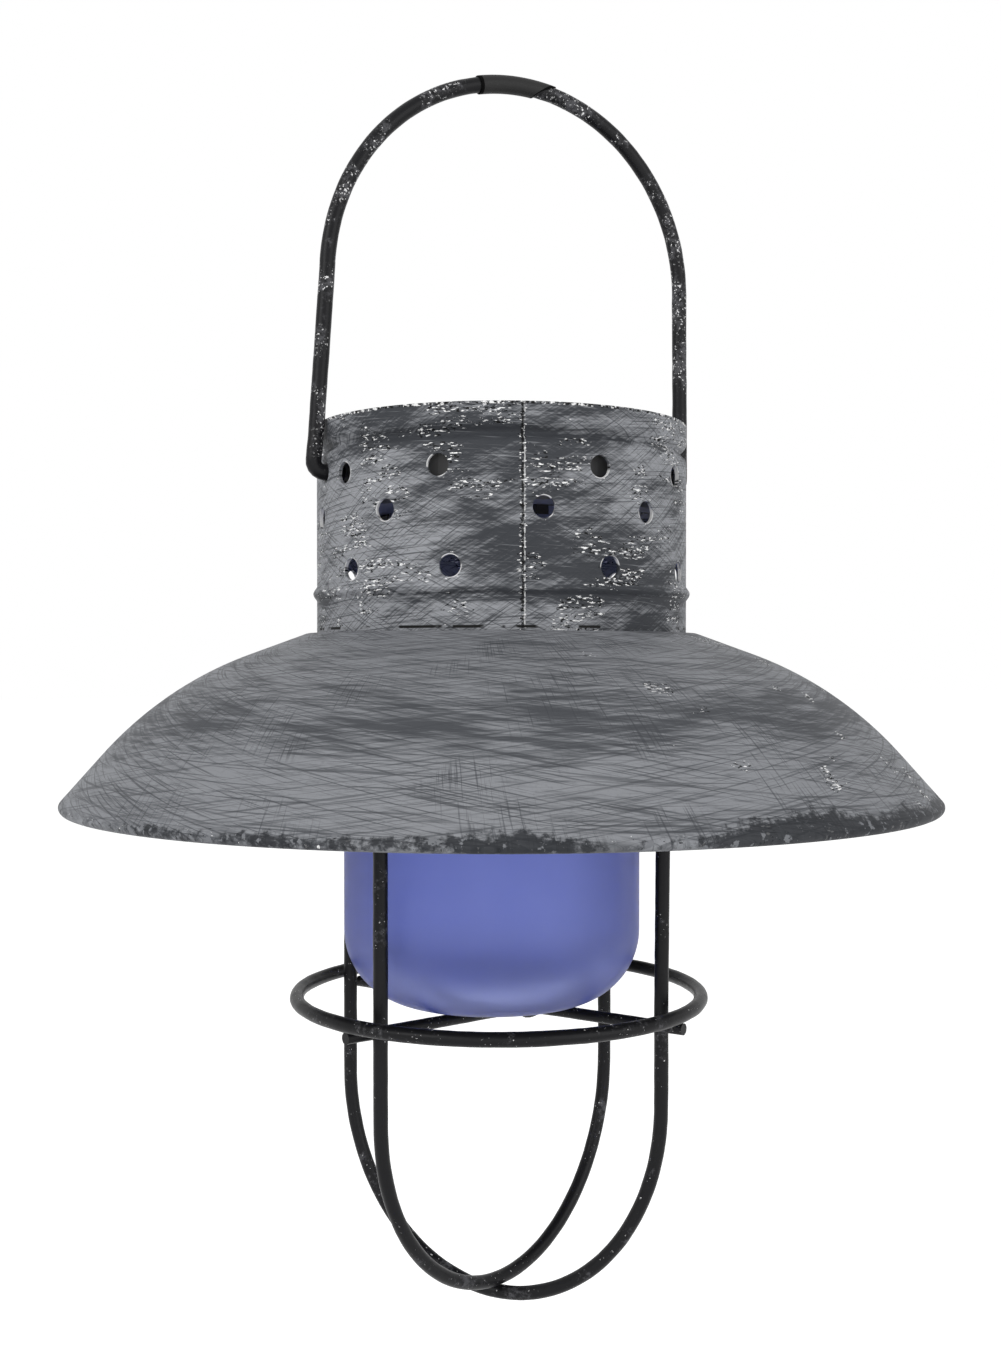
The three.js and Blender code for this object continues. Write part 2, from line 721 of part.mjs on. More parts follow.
function switchCase() {
  const [sx, sy, sz] = switchBody;
  const box = toSolid(block([sx, sy, sz], [...switchPlace, floorTop + seatGap + sz / 2]));
  const slot = block([switchSlot[0], sliderSize[1] + 2 * fineGap, 2],
    [...switchPlace, floorTop + seatGap]);
  return toGeometry(cut(box, slot));
}

function switchSlider() {
  const top = floorTop + seatGap + 0.7;
  const bottom = floorZ - sliderStick;
  const x = switchPlace[0] - switchTravel / 2;
  return block([sliderSize[0], sliderSize[1], top - bottom],
    [x, switchPlace[1], (top + bottom) / 2]);
}

function cellLead(side) {
  const top = cellZ - fineGap - 0.2;
  const end = floorTop + boardHeight + boardSize[2] + seatGap;
  const drop = coverZ - end;
  return wire([
    [0.8, leadY, top], [0.8, leadY, coverZ], [1.2, leadY - 0.6, coverZ - 0.25 * drop],
    [2.8, leadY - 4, coverZ - 0.5 * drop], [4.4, leadY - 7.4, coverZ - 0.75 * drop],
    [4.8, leadY - 8, end],
  ].map(([x, y, z]) => [side * x, y, z]), leadDiameter / 2, 8);
}

function batteryLead(side) {
  const x = contactX - contactThickness / 2 - fineGap - leadDiameter / 2;
  const top = roofZ + tailRise - leadDiameter / 2;
  const end = floorTop + boardHeight + boardSize[2] + seatGap;
  return wire([
    [x, batteryOffset, top], [x - 2, batteryOffset - 3, top + 0.4],
    [x - 6, batteryOffset - 9, top + 0.2], [x - 10, batteryOffset - 14, top - 1.2],
    [x - 12, batteryOffset - 16, (top + end) / 2], [x - 12.5, batteryOffset - 16.5, end],
  ].map(([px, y, z]) => [side * px, y, z]), leadDiameter / 2, 8);
}

add('bail_wire', wire(bailPoints(), bailWire / 2, 8), darkWire());
add('crown_sleeve', crownSleeve(), darkWire());
add('chimney', chimney(), zinc());
add('shade', shade(), zinc());
add('hoop_upper', hoop(upperHoopAngle, hoopDepth, [0, 0]), darkWire());
add('hoop_lower', hoop(lowerHoopAngle, hoopDepth + cageWire + seatGap, cageLean), darkWire());
add('guard_ring', guardRing(), darkWire());
const bars = crossBars();
add('cross_bar_over', bars.over, darkWire());
add('cross_bar_under', bars.under, darkWire());
add('glass_cup', glassCup(), blueGlass());

add('unit_housing', unitHousing(), blackPlastic());
add('unit_cover', unitCover(), blackPlastic());
add('seal_ring', ringSolid(unitBodyRadius - unitWall + sealMargin, unitBodyRadius - sealMargin,
  sealZ, sealZ + sealThickness, 36), finish(0x2a2a2a, 0.9, 0));
add('solar_cell', block([cellSize, cellSize, cellThickness], [0, 0, cellZ + cellThickness / 2]),
  finish(0x1a2444, 0.3, 0.2));
const windowSize = cellSize + 2 * windowMargin;
add('cell_window', block([windowSize, windowSize, windowThickness],
  [0, 0, windowZ + windowThickness / 2]), finish(0xdfe6ea, 0.08, 0, 0.3));
screws.forEach((place, i) => add(`case_screw_${i + 1}`, caseScrew(place), steel()));
add('battery', battery(), finish(0x3f6b4a, 0.4, 0.2));
add('battery_spring', batterySpring(), steel());
add('contact_minus', contactPlate(-contactX), steel());
add('contact_plus', contactPlate(contactX), steel());
add('battery_door', batteryDoor(), blackPlastic());
add('circuit_board', board(), finish(0x1f5a3a, 0.5, 0));
add('led_lamp', led(), finish(0xf0ead0, 0.2, 0, 0.8));
add('light_collar', lightCollar(), finish(0xd8d8d8, 0.3, 0));
add('switch_case', switchCase(), steel());
add('switch_slider', switchSlider(), greyPlastic());
add('cell_lead_red', cellLead(1), finish(0xa02020, 0.5, 0));
add('cell_lead_black', cellLead(-1), finish(0x151515, 0.5, 0));
add('battery_lead_red', batteryLead(1), finish(0xa02020, 0.5, 0));
add('battery_lead_black', batteryLead(-1), finish(0x151515, 0.5, 0));

export default lantern;
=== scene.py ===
# %% [markdown]
# # Solar hanging lantern
# The object is a small garden lantern. A wire bail carries a punched sheet-metal chimney with a
# wide dished shade. Two wire hoops under it form a cage with a ring, and a blue glass cup stands
# in the cage. A solar light unit drops into the top of the chimney.
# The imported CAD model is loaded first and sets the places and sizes. This script gives the
# pieces their fine shape and their finish.

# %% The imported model
import json
import math

import bmesh
import bpy
from mathutils import Matrix, Vector


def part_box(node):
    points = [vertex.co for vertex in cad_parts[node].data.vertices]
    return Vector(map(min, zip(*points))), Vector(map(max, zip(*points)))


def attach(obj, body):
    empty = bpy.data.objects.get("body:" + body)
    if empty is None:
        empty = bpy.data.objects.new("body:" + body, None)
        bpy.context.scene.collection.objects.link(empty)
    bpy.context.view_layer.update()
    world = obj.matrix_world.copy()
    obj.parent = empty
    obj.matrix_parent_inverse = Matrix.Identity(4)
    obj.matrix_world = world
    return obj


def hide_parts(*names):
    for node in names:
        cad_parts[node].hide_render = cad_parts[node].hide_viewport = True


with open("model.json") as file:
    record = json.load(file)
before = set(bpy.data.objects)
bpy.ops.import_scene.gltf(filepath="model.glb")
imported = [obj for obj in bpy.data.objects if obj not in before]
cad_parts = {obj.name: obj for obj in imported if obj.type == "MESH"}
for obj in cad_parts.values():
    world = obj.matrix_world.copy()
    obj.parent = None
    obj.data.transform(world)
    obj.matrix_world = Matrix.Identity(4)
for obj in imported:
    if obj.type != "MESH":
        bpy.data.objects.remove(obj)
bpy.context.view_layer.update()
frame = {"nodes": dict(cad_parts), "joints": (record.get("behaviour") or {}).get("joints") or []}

# %% [markdown]
# All lengths below are in millimetres, because that is how a sheet-metal shop talks, and `MM`
# turns them into Blender's metres. Heights are taken from the CAD nodes, so nothing can drift.

# %% Heights from the frame
MM = 0.001


def low(node):
    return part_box(node)[0][2] / MM


def high(node):
    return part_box(node)[1][2] / MM


RIM = high("chimney")
FOOT = low("chimney")
PIVOT = next(j for j in frame["joints"] if j["name"] == "bail_swing")["pos_m"][2] / MM
RING = (low("guard_ring") + high("guard_ring")) / 2
print("rim", round(RIM, 2), "foot", round(FOOT, 2), "pivot", round(PIVOT, 2),
      "ring", round(RING, 2))

# %% [markdown]
# The camera stands where the photographer stood: 392 mm from the lantern's axis, level with the
# lower edge of the chimney, turned 24 degrees from the plane of the bail. The lens comes from the
# same fit. The sensor is fitted vertically, so that the frame's height stays the measure.

# %% Camera
TURN = math.radians(-24.0)
DISTANCE, EYE_BELOW_PIVOT, ASIDE = 392.4, 44.0, 0.25
TILT = 0.0155
SENSOR, FOCAL_PIXELS, FRAME_PIXELS = 36.0, 1596.9, 1371.0
scene = bpy.context.scene


def shown_object(name, data):
    piece = bpy.data.objects.new(name, data)
    scene.collection.objects.link(piece)
    return piece


right = Vector((math.cos(TURN), math.sin(TURN), 0.0))
back = Vector((math.sin(TURN), -math.cos(TURN), 0.0))
eye = Vector((0, 0, PIVOT - EYE_BELOW_PIVOT))
lens = bpy.data.cameras.new("photo_camera")
lens.sensor_fit = "VERTICAL"
lens.sensor_height = SENSOR
lens.lens = SENSOR * FOCAL_PIXELS / FRAME_PIXELS
lens.clip_start = 0.01
camera = shown_object("photo_camera", lens)
camera.location = (back * DISTANCE - right * ASIDE + eye) * MM
camera.rotation_euler = (math.radians(90.0) - TILT, 0.0, TURN)
scene.camera = camera
print("lens", round(lens.lens, 2), "camera at", [round(v, 3) for v in camera.location])

# %% [markdown]
# The photograph has a plain white ground and a soft, even studio light. A white backdrop could
# give both, but it would have to be lit as well. So the world lights the object gently, and shows
# as plain white to the camera and in reflections. Three large area lamps give the sheet its shape
# without hard shadows, and a pale floor well below the lantern throws some light back up.

# %% Node trees
class Tree:
    """A node tree, emptied, with short ways to add to it."""

    def __init__(self, tree):
        self.tree = tree
        tree.nodes.clear()

    def add(self, kind, inputs=None, **settings):
        """A new node with its settings made and its inputs linked or filled."""
        node = self.tree.nodes.new(kind)
        for name, value in settings.items():
            setattr(node, name, value)
        for name, value in (inputs or {}).items():
            if isinstance(value, bpy.types.NodeSocket):
                self.tree.links.new(value, node.inputs[name])
            else:
                node.inputs[name].default_value = value
        return node

    def out(self, kind, inputs=None, **settings):
        """The first output of a new node."""
        return self.add(kind, inputs, **settings).outputs[0]

    def maths(self, operation, *values):
        return self.out("ShaderNodeMath", dict(enumerate(values)), operation=operation)


def lit_and_seen(tree, output, lighting, seen):
    """One shader for light, another for the camera and for glossy or clear surfaces."""
    path = tree.add("ShaderNodeLightPath").outputs
    glossy = tree.maths("MAXIMUM", path["Is Glossy Ray"], path["Is Transmission Ray"])
    direct = tree.maths("MAXIMUM", path["Is Camera Ray"], glossy)
    both = tree.out("ShaderNodeMixShader", {0: direct, 1: lighting, 2: seen})
    tree.add(output, {"Surface": both})


# %% World and lamps
WHITE = (1, 1, 1, 1)
AIM_HEIGHT = -0.14
scene.view_settings.view_transform = "Standard"
scene.world = bpy.data.worlds.new("studio")
scene.world.use_nodes = True
sky = Tree(scene.world.node_tree)
soft = sky.out("ShaderNodeBackground", {"Color": WHITE, "Strength": 0.45})
full = sky.out("ShaderNodeBackground", {"Color": WHITE, "Strength": 1.0})
lit_and_seen(sky, "ShaderNodeOutputWorld", soft, full)
print("world nodes", len(sky.tree.nodes))


def area_lamp(name, side, front, height, size, power):
    """A square soft lamp aimed at the lantern; side and front are seen from the camera."""
    light = bpy.data.lights.new(name, "AREA")
    light.size = size
    light.energy = power
    lamp = shown_object(name, light)
    lamp.location = right * side + back * front + Vector((0, 0, height))
    aim = Vector((0, 0, AIM_HEIGHT)) - lamp.location
    lamp.rotation_euler = aim.to_track_quat("-Z", "Y").to_euler()


area_lamp("key_lamp", side=-0.9, front=0.9, height=0.55, size=0.9, power=11.0)
area_lamp("fill_lamp", side=1.0, front=0.8, height=0.15, size=1.0, power=7.0)
area_lamp("low_lamp", side=0.0, front=1.0, height=-0.30, size=1.0, power=3.0)

# %% Floor
FLOOR_HALF, FLOOR_HEIGHT = 9.0, -0.36
corners = [(x * FLOOR_HALF, y * FLOOR_HALF, FLOOR_HEIGHT)
           for x, y in ((-1, -1), (1, -1), (1, 1), (-1, 1))]
floor_mesh = bpy.data.meshes.new("floor")
floor_mesh.from_pydata(corners, [], [(0, 1, 2, 3)])
floor = shown_object("floor", floor_mesh)
pale = bpy.data.materials.new("pale_floor")
pale.use_nodes = True
ground = Tree(pale.node_tree)
matt = ground.out("ShaderNodeBsdfDiffuse", {"Color": (0.85, 0.85, 0.85, 1)})
glow = ground.out("ShaderNodeEmission", {"Color": WHITE, "Strength": 0.68})
bright = ground.out("ShaderNodeAddShader", {0: matt, 1: glow})
lit_and_seen(ground, "ShaderNodeOutputMaterial", matt, bright)
floor_mesh.materials.append(pale)

# %% [markdown]
# ## The dry-brushed paint
# The sheet is painted dark grey, and a nearly dry brush has dragged a light zinc grey over it. The
# strokes run round the lantern, some level and some at a slant. A painted picture could hold them,
# but it blurs close up and has to be wrapped round the sheet, while a noise stays sharp and goes
# on all round. Each layer of strokes is a noise in coordinates that are unrolled from the body:
# the length of arc from the front, and the distance along the profile. They are turned by the
# slant, then divided by a stroke's length and width. An unrolled sheet has a cut, so two of them
# are used, one cut at the back and one at the front, and they are blended at the sides, where
# neither has its cut.

# %% Sums on sockets
class Formula(Tree):
    """A tree that works out numbers and places."""

    def times(self, first, second):
        return self.maths("MULTIPLY", first, second)

    def minus(self, first, second):
        return self.maths("SUBTRACT", first, second)

    def apart(self, value, place):
        """How far a value is from a place."""
        return self.maths("ABSOLUTE", self.minus(value, place))

    def step(self, value, start, end):
        """0 at the start, 1 at the end, smooth between."""
        return self.out("ShaderNodeMapRange",
                        {"Value": value, "From Min": start, "From Max": end},
                        interpolation_type="SMOOTHSTEP")

    def near(self, distance, start, end):
        """1 where the distance is below start, 0 above end."""
        return self.minus(1.0, self.step(distance, start, end))

    def blend(self, *weighted):
        """The sum of sockets times weights."""
        total = self.times(*weighted[0])
        for socket, weight in weighted[1:]:
            total = self.maths("MULTIPLY_ADD", socket, weight, total)
        return total

    def parts(self, vector):
        return self.add("ShaderNodeSeparateXYZ", {0: vector}).outputs

    def vector(self, x, y, z=0.0):
        return self.out("ShaderNodeCombineXYZ", {0: x, 1: y, 2: z})

    def length(self, vector):
        node = self.add("ShaderNodeVectorMath", {0: vector}, operation="LENGTH")
        return node.outputs["Value"]


# %% Group helper
def node_group(name, kind, inputs, output):
    """A node group as a formula, and its input sockets.

    The value of an input sets the kind of its socket: a word names one that has no plain value.
    """
    group = bpy.data.node_groups.new(name, kind)
    tree = Formula(group)
    for label, value in inputs.items():
        word = value if isinstance(value, str) else type(value).__name__.capitalize()
        socket = group.interface.new_socket(label, in_out="INPUT",
                                            socket_type="NodeSocket" + word)
        if word != value:
            socket.default_value = value
    group.interface.new_socket("Result", in_out="OUTPUT", socket_type="NodeSocket" + output)
    return tree, tree.add("NodeGroupInput").outputs


# %% A layer of brush strokes
strokes, given = node_group("brush_strokes", "ShaderNodeTree", {
    "Vector": "Vector", "Out": 0.0, "Up": 1.0, "Round": 45.0, "Length": 20.0, "Width": 1.0,
    "Slant": 0.0, "Seed": 0.0}, "Float")
turned_in = strokes.out("ShaderNodeVectorRotate", {"Vector": given["Vector"], "Angle": -TURN},
                        rotation_type="Z_AXIS")
x, y, z = strokes.parts(turned_in)
radius = strokes.length(strokes.vector(x, y))
run = strokes.maths("ADD", strokes.times(radius, given["Out"]), strokes.times(z, given["Up"]))
cosine = strokes.maths("COSINE", given["Slant"])
sine = strokes.maths("SINE", given["Slant"])


def unrolled_noise(sign, seed_step):
    """Stroke noise on the sheet that is cut at the back (sign 1) or at the front (sign -1)."""
    turn = strokes.maths("ARCTAN2", strokes.times(x, float(sign)), strokes.times(y, float(-sign)))
    arc_length = strokes.times(turn, given["Round"])
    along = strokes.maths("ADD", strokes.times(arc_length, cosine), strokes.times(run, sine))
    across = strokes.minus(strokes.times(run, cosine), strokes.times(arc_length, sine))
    place = strokes.vector(strokes.maths("DIVIDE", along, given["Length"]),
                           strokes.maths("DIVIDE", across, given["Width"]),
                           strokes.maths("ADD", given["Seed"], seed_step))
    return strokes.out("ShaderNodeTexNoise",
                       {"Vector": place, "Scale": 1.0, "Detail": 3.0, "Roughness": 0.62})


to_the_front = strokes.step(strokes.maths("DIVIDE", y, radius), 0.3, -0.3)
blended = strokes.out("ShaderNodeMix", {0: to_the_front, 2: unrolled_noise(-1, 40.0),
                                        3: unrolled_noise(1, 0.0)}, data_type="FLOAT")
strokes.add("NodeGroupOutput", {0: blended})
print("stroke layer has", len(strokes.tree.nodes), "nodes")


# %% Material helper
class Finish(Formula):
    """A material with a Principled shader, and short ways to paint it."""

    def __init__(self, name, **plain):
        self.material = bpy.data.materials.new(name)
        self.material.use_nodes = True
        super().__init__(self.material.node_tree)
        self.shader = self.add("ShaderNodeBsdfPrincipled",
                               {key.replace("_", " "): value for key, value in plain.items()})
        self.add("ShaderNodeOutputMaterial", {"Surface": self.shader.outputs[0]})
        coordinates = self.add("ShaderNodeTexCoord").outputs["Object"]
        self.mm = self.out("ShaderNodeVectorMath", {0: coordinates, "Scale": 1.0 / MM},
                           operation="SCALE")
        self.x, self.y, self.z = self.parts(self.mm)
        self.radius = self.length(self.vector(self.x, self.y))

    def link(self, label, socket):
        self.tree.links.new(socket, self.shader.inputs[label])

    def colour(self, tone):
        self.tone = tone
        self.link("Base Color", tone)

    def cover(self, share, paint, strength=1.0):
        """Lays a paint over the base colour where the share is 1."""
        if strength < 1.0:
            share = self.times(share, strength)
        self.colour(self.mix(share, self.tone, paint))

    def rough(self, least, share, more):
        self.link("Roughness", self.maths("ADD", least, self.times(share, more)))

    def bump(self, height, strength, distance):
        node = self.add("ShaderNodeBump", {"Height": height, "Strength": strength,
                                           "Distance": distance * MM})
        self.link("Normal", node.outputs[0])

    def noise(self, size, detail=3.0, roughness=0.55, seed=0.0):
        return self.out("ShaderNodeTexNoise",
                        {"Vector": self.mm, "W": seed, "Scale": 1.0 / size, "Detail": detail,
                         "Roughness": roughness}, noise_dimensions="4D")

    def spots(self, size, start, end, **noise):
        """Spots where a noise is above the start, solid above the end."""
        return self.step(self.noise(size, **noise), start, end)

    def wander(self, size, spread, middle=0.5, **noise):
        """A noise that swings about 0."""
        return self.times(self.minus(self.noise(size, **noise), middle), spread)

    def strokes(self, length, width, slant, seed):
        """A layer of strokes; the profile holds its direction and radius."""
        return self.out("ShaderNodeGroup",
                        {"Vector": self.mm, **self.profile, "Length": length, "Width": width,
                         "Slant": slant, "Seed": seed}, node_tree=strokes.tree)

    def mix(self, share, first, second):
        return self.add("ShaderNodeMix", {0: share, 6: first, 7: second},
                        data_type="RGBA").outputs[2]


# %% [markdown]
# ## Brushed sheet paint
# The finish is built up as the paint is. Broad patches say where the brush was loaded. Level,
# rising and falling strokes are blended over them and lighten or darken the grey. Thin dark and
# light scratches follow, and chips come last: white and black flecks, gathered in clusters and
# rows. One noise could do for a plain wall, but here each layer is tuned against the real sheet
# by itself. Chimney and shade share the recipe and differ in scale, and each has its own extra
# darkening.

# %% Greys
def grey(level, warm=0.0, cool=0.0):
    """A colour from a grey level of 0 to 255 as a screen shows it."""
    def linear(v):
        v = v / 255.0
        return v / 12.92 if v <= 0.04045 else ((v + 0.055) / 1.055) ** 2.4
    return (linear(level + warm), linear(level), linear(level + cool), 1.0)


def zinc(level):
    """The cool grey of the sheet's paint at a level of 0 to 255."""
    return grey(level, warm=-2, cool=4)


print("zinc at 120 is", [round(v, 3) for v in zinc(120)[:3]])


# %% Sheet finish
def brushed_sheet(name, profile, scale, tones, weights, darkening, chipping, seed):
    """darkening and chipping are functions of the finish that give a socket of 0 to 1."""
    f = Finish(name, Specular_IOR_Level=0.12)
    f.profile = profile
    dark, light = tones
    fine = f.blend((f.strokes(13.0 * scale, 0.55 * scale, 0.02, seed), 0.36),
                   (f.strokes(9.0 * scale, 0.50 * scale, 0.50 / scale, seed + 3.1), 0.34),
                   (f.strokes(10.0 * scale, 0.60 * scale, -0.36 / scale, seed + 7.7), 0.30))
    patches = f.blend((f.strokes(16.0 * scale, 4.0, 0.25, seed + 1.3), 0.55),
                      (f.strokes(40.0, 12.0, -0.12, seed + 5.9), 0.45))
    middle = sum(weights) / 2 - 0.2
    value = f.blend((fine, weights[0]), (patches, weights[1]), (darkening(f), -0.5))
    f.colour(f.mix(f.step(value, middle - 0.30, middle + 0.34), zinc(dark), zinc(light)))
    for length, width, slant, seed_step, strength in ((14.0, 0.34, 0.62, 20.0, 0.75),
                                                      (17.0, 0.38, -0.45, 22.0, 0.65),
                                                      (22.0, 0.42, 0.08, 26.0, 0.75)):
        line = f.strokes(length * scale, width * scale ** 0.5, slant / scale, seed + seed_step)
        f.cover(f.step(line, 0.54, 0.64), zinc(dark - 6), strength)
    light_line = f.step(f.strokes(18.0 * scale, 0.36, -0.06, seed + 24.0), 0.60, 0.72)
    f.cover(light_line, zinc(light + 24), 0.4)
    f.cover(f.spots(0.8, 0.5, 0.8, seed=seed), zinc(dark + 8), 0.25)
    threshold = f.minus(0.80, f.times(chipping(f), 0.22))
    white = f.maths("GREATER_THAN", f.strokes(1.5, 0.50, 0.0, seed + 11.0), threshold)
    black = f.maths("GREATER_THAN", f.strokes(1.3, 0.60, 0.0, seed + 14.0),
                    f.minus(threshold, 0.02))
    f.cover(black, grey(4))
    f.cover(white, grey(230))
    f.rough(0.46, fine, 0.2)
    f.bump(f.blend((fine, 1.6), (light_line, 0.15), (white, 0.3)), 0.5, 0.12)
    return f


# %% [markdown]
# The chips on the chimney gather round the punched holes, along the lap seam and at the rim, where
# the tools have bared the metal. They could be painted by hand, but distances place them without
# a picture: a small group gives the distance from the nearest hole of a row. A row is given by its
# depth below the rim and by the angle from the seam to its first hole.

# %% Distance from the holes
ROWS = ((13.6, 23.0), (22.9, 5.9), (35.7, 26.5))
SEAM, SEAM_GAP, HOLES = -18.1, 47.0, 10
CHIMNEY_RADIUS = 45.0
PITCH = math.radians((360.0 - SEAM_GAP) / (HOLES - 1))
row, given = node_group("hole_distance", "ShaderNodeTree",
                        {"Vector": "Vector", "Height": 0.0, "Start": 0.0}, "Float")
x, y, z = row.parts(given["Vector"])
turn = row.maths("ARCTAN2", x, row.times(y, -1.0))
past = row.maths("FLOORED_MODULO", row.minus(turn, given["Start"]), 2 * math.pi)
number = row.maths("MINIMUM", row.maths("ROUND", row.maths("DIVIDE", past, PITCH)), HOLES - 1.0)
aside = row.maths("MINIMUM", row.apart(past, row.times(number, PITCH)),
                  row.minus(2 * math.pi, past))
away = row.vector(row.times(aside, CHIMNEY_RADIUS), 0.0, row.minus(z, given["Height"]))
row.add("NodeGroupOutput", {0: row.length(away)})
print("holes every", round(math.degrees(PITCH), 2), "degrees")


def hole_distance(f):
    nearest = 100.0
    for drop, start in ROWS:
        distance = f.out("ShaderNodeGroup", {"Vector": f.mm, "Height": RIM - drop,
                                             "Start": math.radians(SEAM + start)},
                         node_tree=row.tree)
        nearest = f.maths("MINIMUM", nearest, distance)
    return nearest


def seam_distance(f):
    """Signed arc length from the lap seam, in mm."""
    turn = f.maths("ARCTAN2", f.x, f.times(f.y, -1.0))
    return f.times(f.minus(turn, math.radians(SEAM)), CHIMNEY_RADIUS)


# %% Chimney finish
GROOVE_DROP, BEAD_DROP = 6.6, 40.4
BELT_DROP, SHADE_DROP = 25.0, 49.0


def chimney_darkening(f):
    """A darker belt slants from the rim across the front: uneven brushing in part, painted shade
    in part. Painted shade lies just under the bead and low in the groove.
    """
    across = f.blend((seam_distance(f), 1.0), (f.minus(f.z, RIM - BELT_DROP), 1.1))
    # The belt is uneven brushing in part, and in part painted shade: the sheet's front darker than
    # its sides, which catch more reflection.
    belt = f.near(f.apart(across, 4.0), 8.0, 36.0)
    # Painted shade just under the bead and low in the groove.
    bead = f.near(f.apart(f.z, RIM - BEAD_DROP - 1.6), 0.6, 2.6)
    groove = f.near(f.apart(f.z, RIM - GROOVE_DROP - 0.8), 0.4, 2.0)
    return f.blend((belt, 0.75), (bead, 0.55), (groove, 0.45))


def chimney_chipping(f):
    most = f.times(f.spots(12.0, 0.42, 0.56, detail=1.0, seed=3.0),
                   f.step(f.strokes(16.0, 2.2, 0.05, 61.0), 0.40, 0.54))
    for place, strength in ((f.near(hole_distance(f), 2.8, 5.0), 0.62),
                            (f.step(f.z, RIM - 1.0, RIM - 0.1), 0.85),
                            (f.near(f.apart(seam_distance(f), 0.0), 0.4, 1.6), 0.95)):
        most = f.maths("MAXIMUM", most, f.times(place, strength))
    return most


def finish_edges(f):
    """Broken lines of a grey level along the chimney's edges.

    The seam is dark with a light side, the metal is bared round the holes, the rim's lip is nicked
    dark and light, and dark dashes of painted shade lie in the gap where the shade meets the
    sheet.
    """
    seam = f.near(f.apart(seam_distance(f), 0.0), 0.14, 0.34)
    side = f.near(f.apart(seam_distance(f), 0.40), 0.06, 0.22)
    holes = f.near(hole_distance(f), 2.56, 2.76)
    lip = f.near(f.apart(f.z, RIM - 0.3), 0.2, 0.4)
    # Painted shade: dark dashes in the narrow gap where the shade meets the chimney.
    foot = f.near(f.apart(f.z, RIM - SHADE_DROP), 0.22, 0.42)
    for place, size, start, end, detail, seed, level, strength in (
            (seam, 0.7, 0.40, 0.50, 1.0, 33.0, 24, 0.9),
            (side, 0.8, 0.47, 0.56, 2.0, 31.0, 215, 0.8),
            (holes, 3.4, 0.50, 0.58, 1.0, 37.0, 210, 1.0),
            (lip, 1.1, 0.50, 0.55, 3.0, 45.0, 12, 1.0),
            (lip, 1.0, 0.56, 0.60, 3.0, 47.0, 225, 1.0),
            (foot, 5.0, 0.48, 0.54, 2.0, 41.0, 18, 1.0)):
        spots = f.spots(size, start, end, detail=detail, seed=seed)
        f.cover(f.times(place, spots), grey(level), strength)


chimney_finish = brushed_sheet("chimney_paint",
                               {"Out": 0.0, "Up": 1.0, "Round": CHIMNEY_RADIUS}, 1.0,
                               (58, 146), (2.2, 2.6), chimney_darkening, chimney_chipping, 2.0)
finish_edges(chimney_finish)
chimney_paint = chimney_finish.material
print("chimney paint", len(chimney_finish.tree.nodes), "nodes")


# %% [markdown]
# On the shade a dark band lies where the slope steepens, and the lower edge is worn dark in
# patches. Long thin scratches cross the strokes, some round the shade and some down it. Band and
# edge follow the distance from the axis, and a slow noise makes them wander, because a band of
# even width would look printed.

# %% Shade finish
BAND_RADIUS, BELOW_RADIUS = 84.0, 96.0


def shade_darkening(f):
    """A dark band that wanders, and a lighter one between it and the edge."""
    wander = f.wander(30.0, 24.0, detail=2.0, seed=8.0)
    band = f.near(f.apart(f.maths("ADD", f.radius, wander), BAND_RADIUS), 1.0, 13.0)
    below = f.near(f.apart(f.radius, BELOW_RADIUS), 2.0, 8.0)
    return f.blend((band, 0.5), (below, -0.3))


def shade_chipping(f):
    """Clusters on one side of the shade, and a few flecks along the edge."""
    cluster = f.times(f.spots(9.0, 0.58, 0.70, detail=1.0, seed=12.0), f.step(f.x, -45.0, 5.0))
    edge = f.step(f.radius, 103.0, 105.0)
    return f.maths("MAXIMUM", cluster, f.times(edge, 0.55))


def shade_scratches(f):
    """Fine dark scratches down the slope in a few places, and long ones round the shade."""
    lines = f.step(f.strokes(18.0, 0.55, 1.45, 71.0), 0.54, 0.64)
    f.cover(f.times(lines, f.spots(24.0, 0.46, 0.56, detail=1.0, seed=14.0)), zinc(62), 0.6)
    for slant, seed in ((0.16, 77.0), (-0.22, 79.0)):
        f.cover(f.step(f.strokes(80.0, 1.1, slant, seed), 0.58, 0.66), zinc(66), 0.55)


def worn_edge(f):
    """Dark bare patches along the lower edge, wide in some places and missing in others."""
    slow = f.wander(34.0, 9.0, 0.46, detail=1.0, seed=5.0)
    quick = f.wander(2.6, 8.0, detail=5.0, roughness=0.7, seed=6.0)
    reach = f.blend((f.radius, 1.0), (slow, 1.0), (quick, 1.0), (f.x, 0.012))
    bare = f.mix(f.noise(1.5, seed=9.0), zinc(18), zinc(50))
    f.cover(f.step(reach, 103.8, 105.2), bare, 0.9)
    chips = f.spots(2.2, 0.58, 0.62, detail=4.0, seed=16.0)
    f.cover(f.times(f.step(f.radius, 103.6, 104.6), chips), zinc(112))


shade_finish = brushed_sheet("shade_paint", {"Out": 0.9, "Up": -0.45, "Round": 80.0}, 2.1,
                             (72, 132), (3.0, 1.6), shade_darkening, shade_chipping, 21.0)
shade_scratches(shade_finish)
worn_edge(shade_finish)
shade_paint = shade_finish.material
print("shade paint", len(shade_finish.tree.nodes), "nodes")
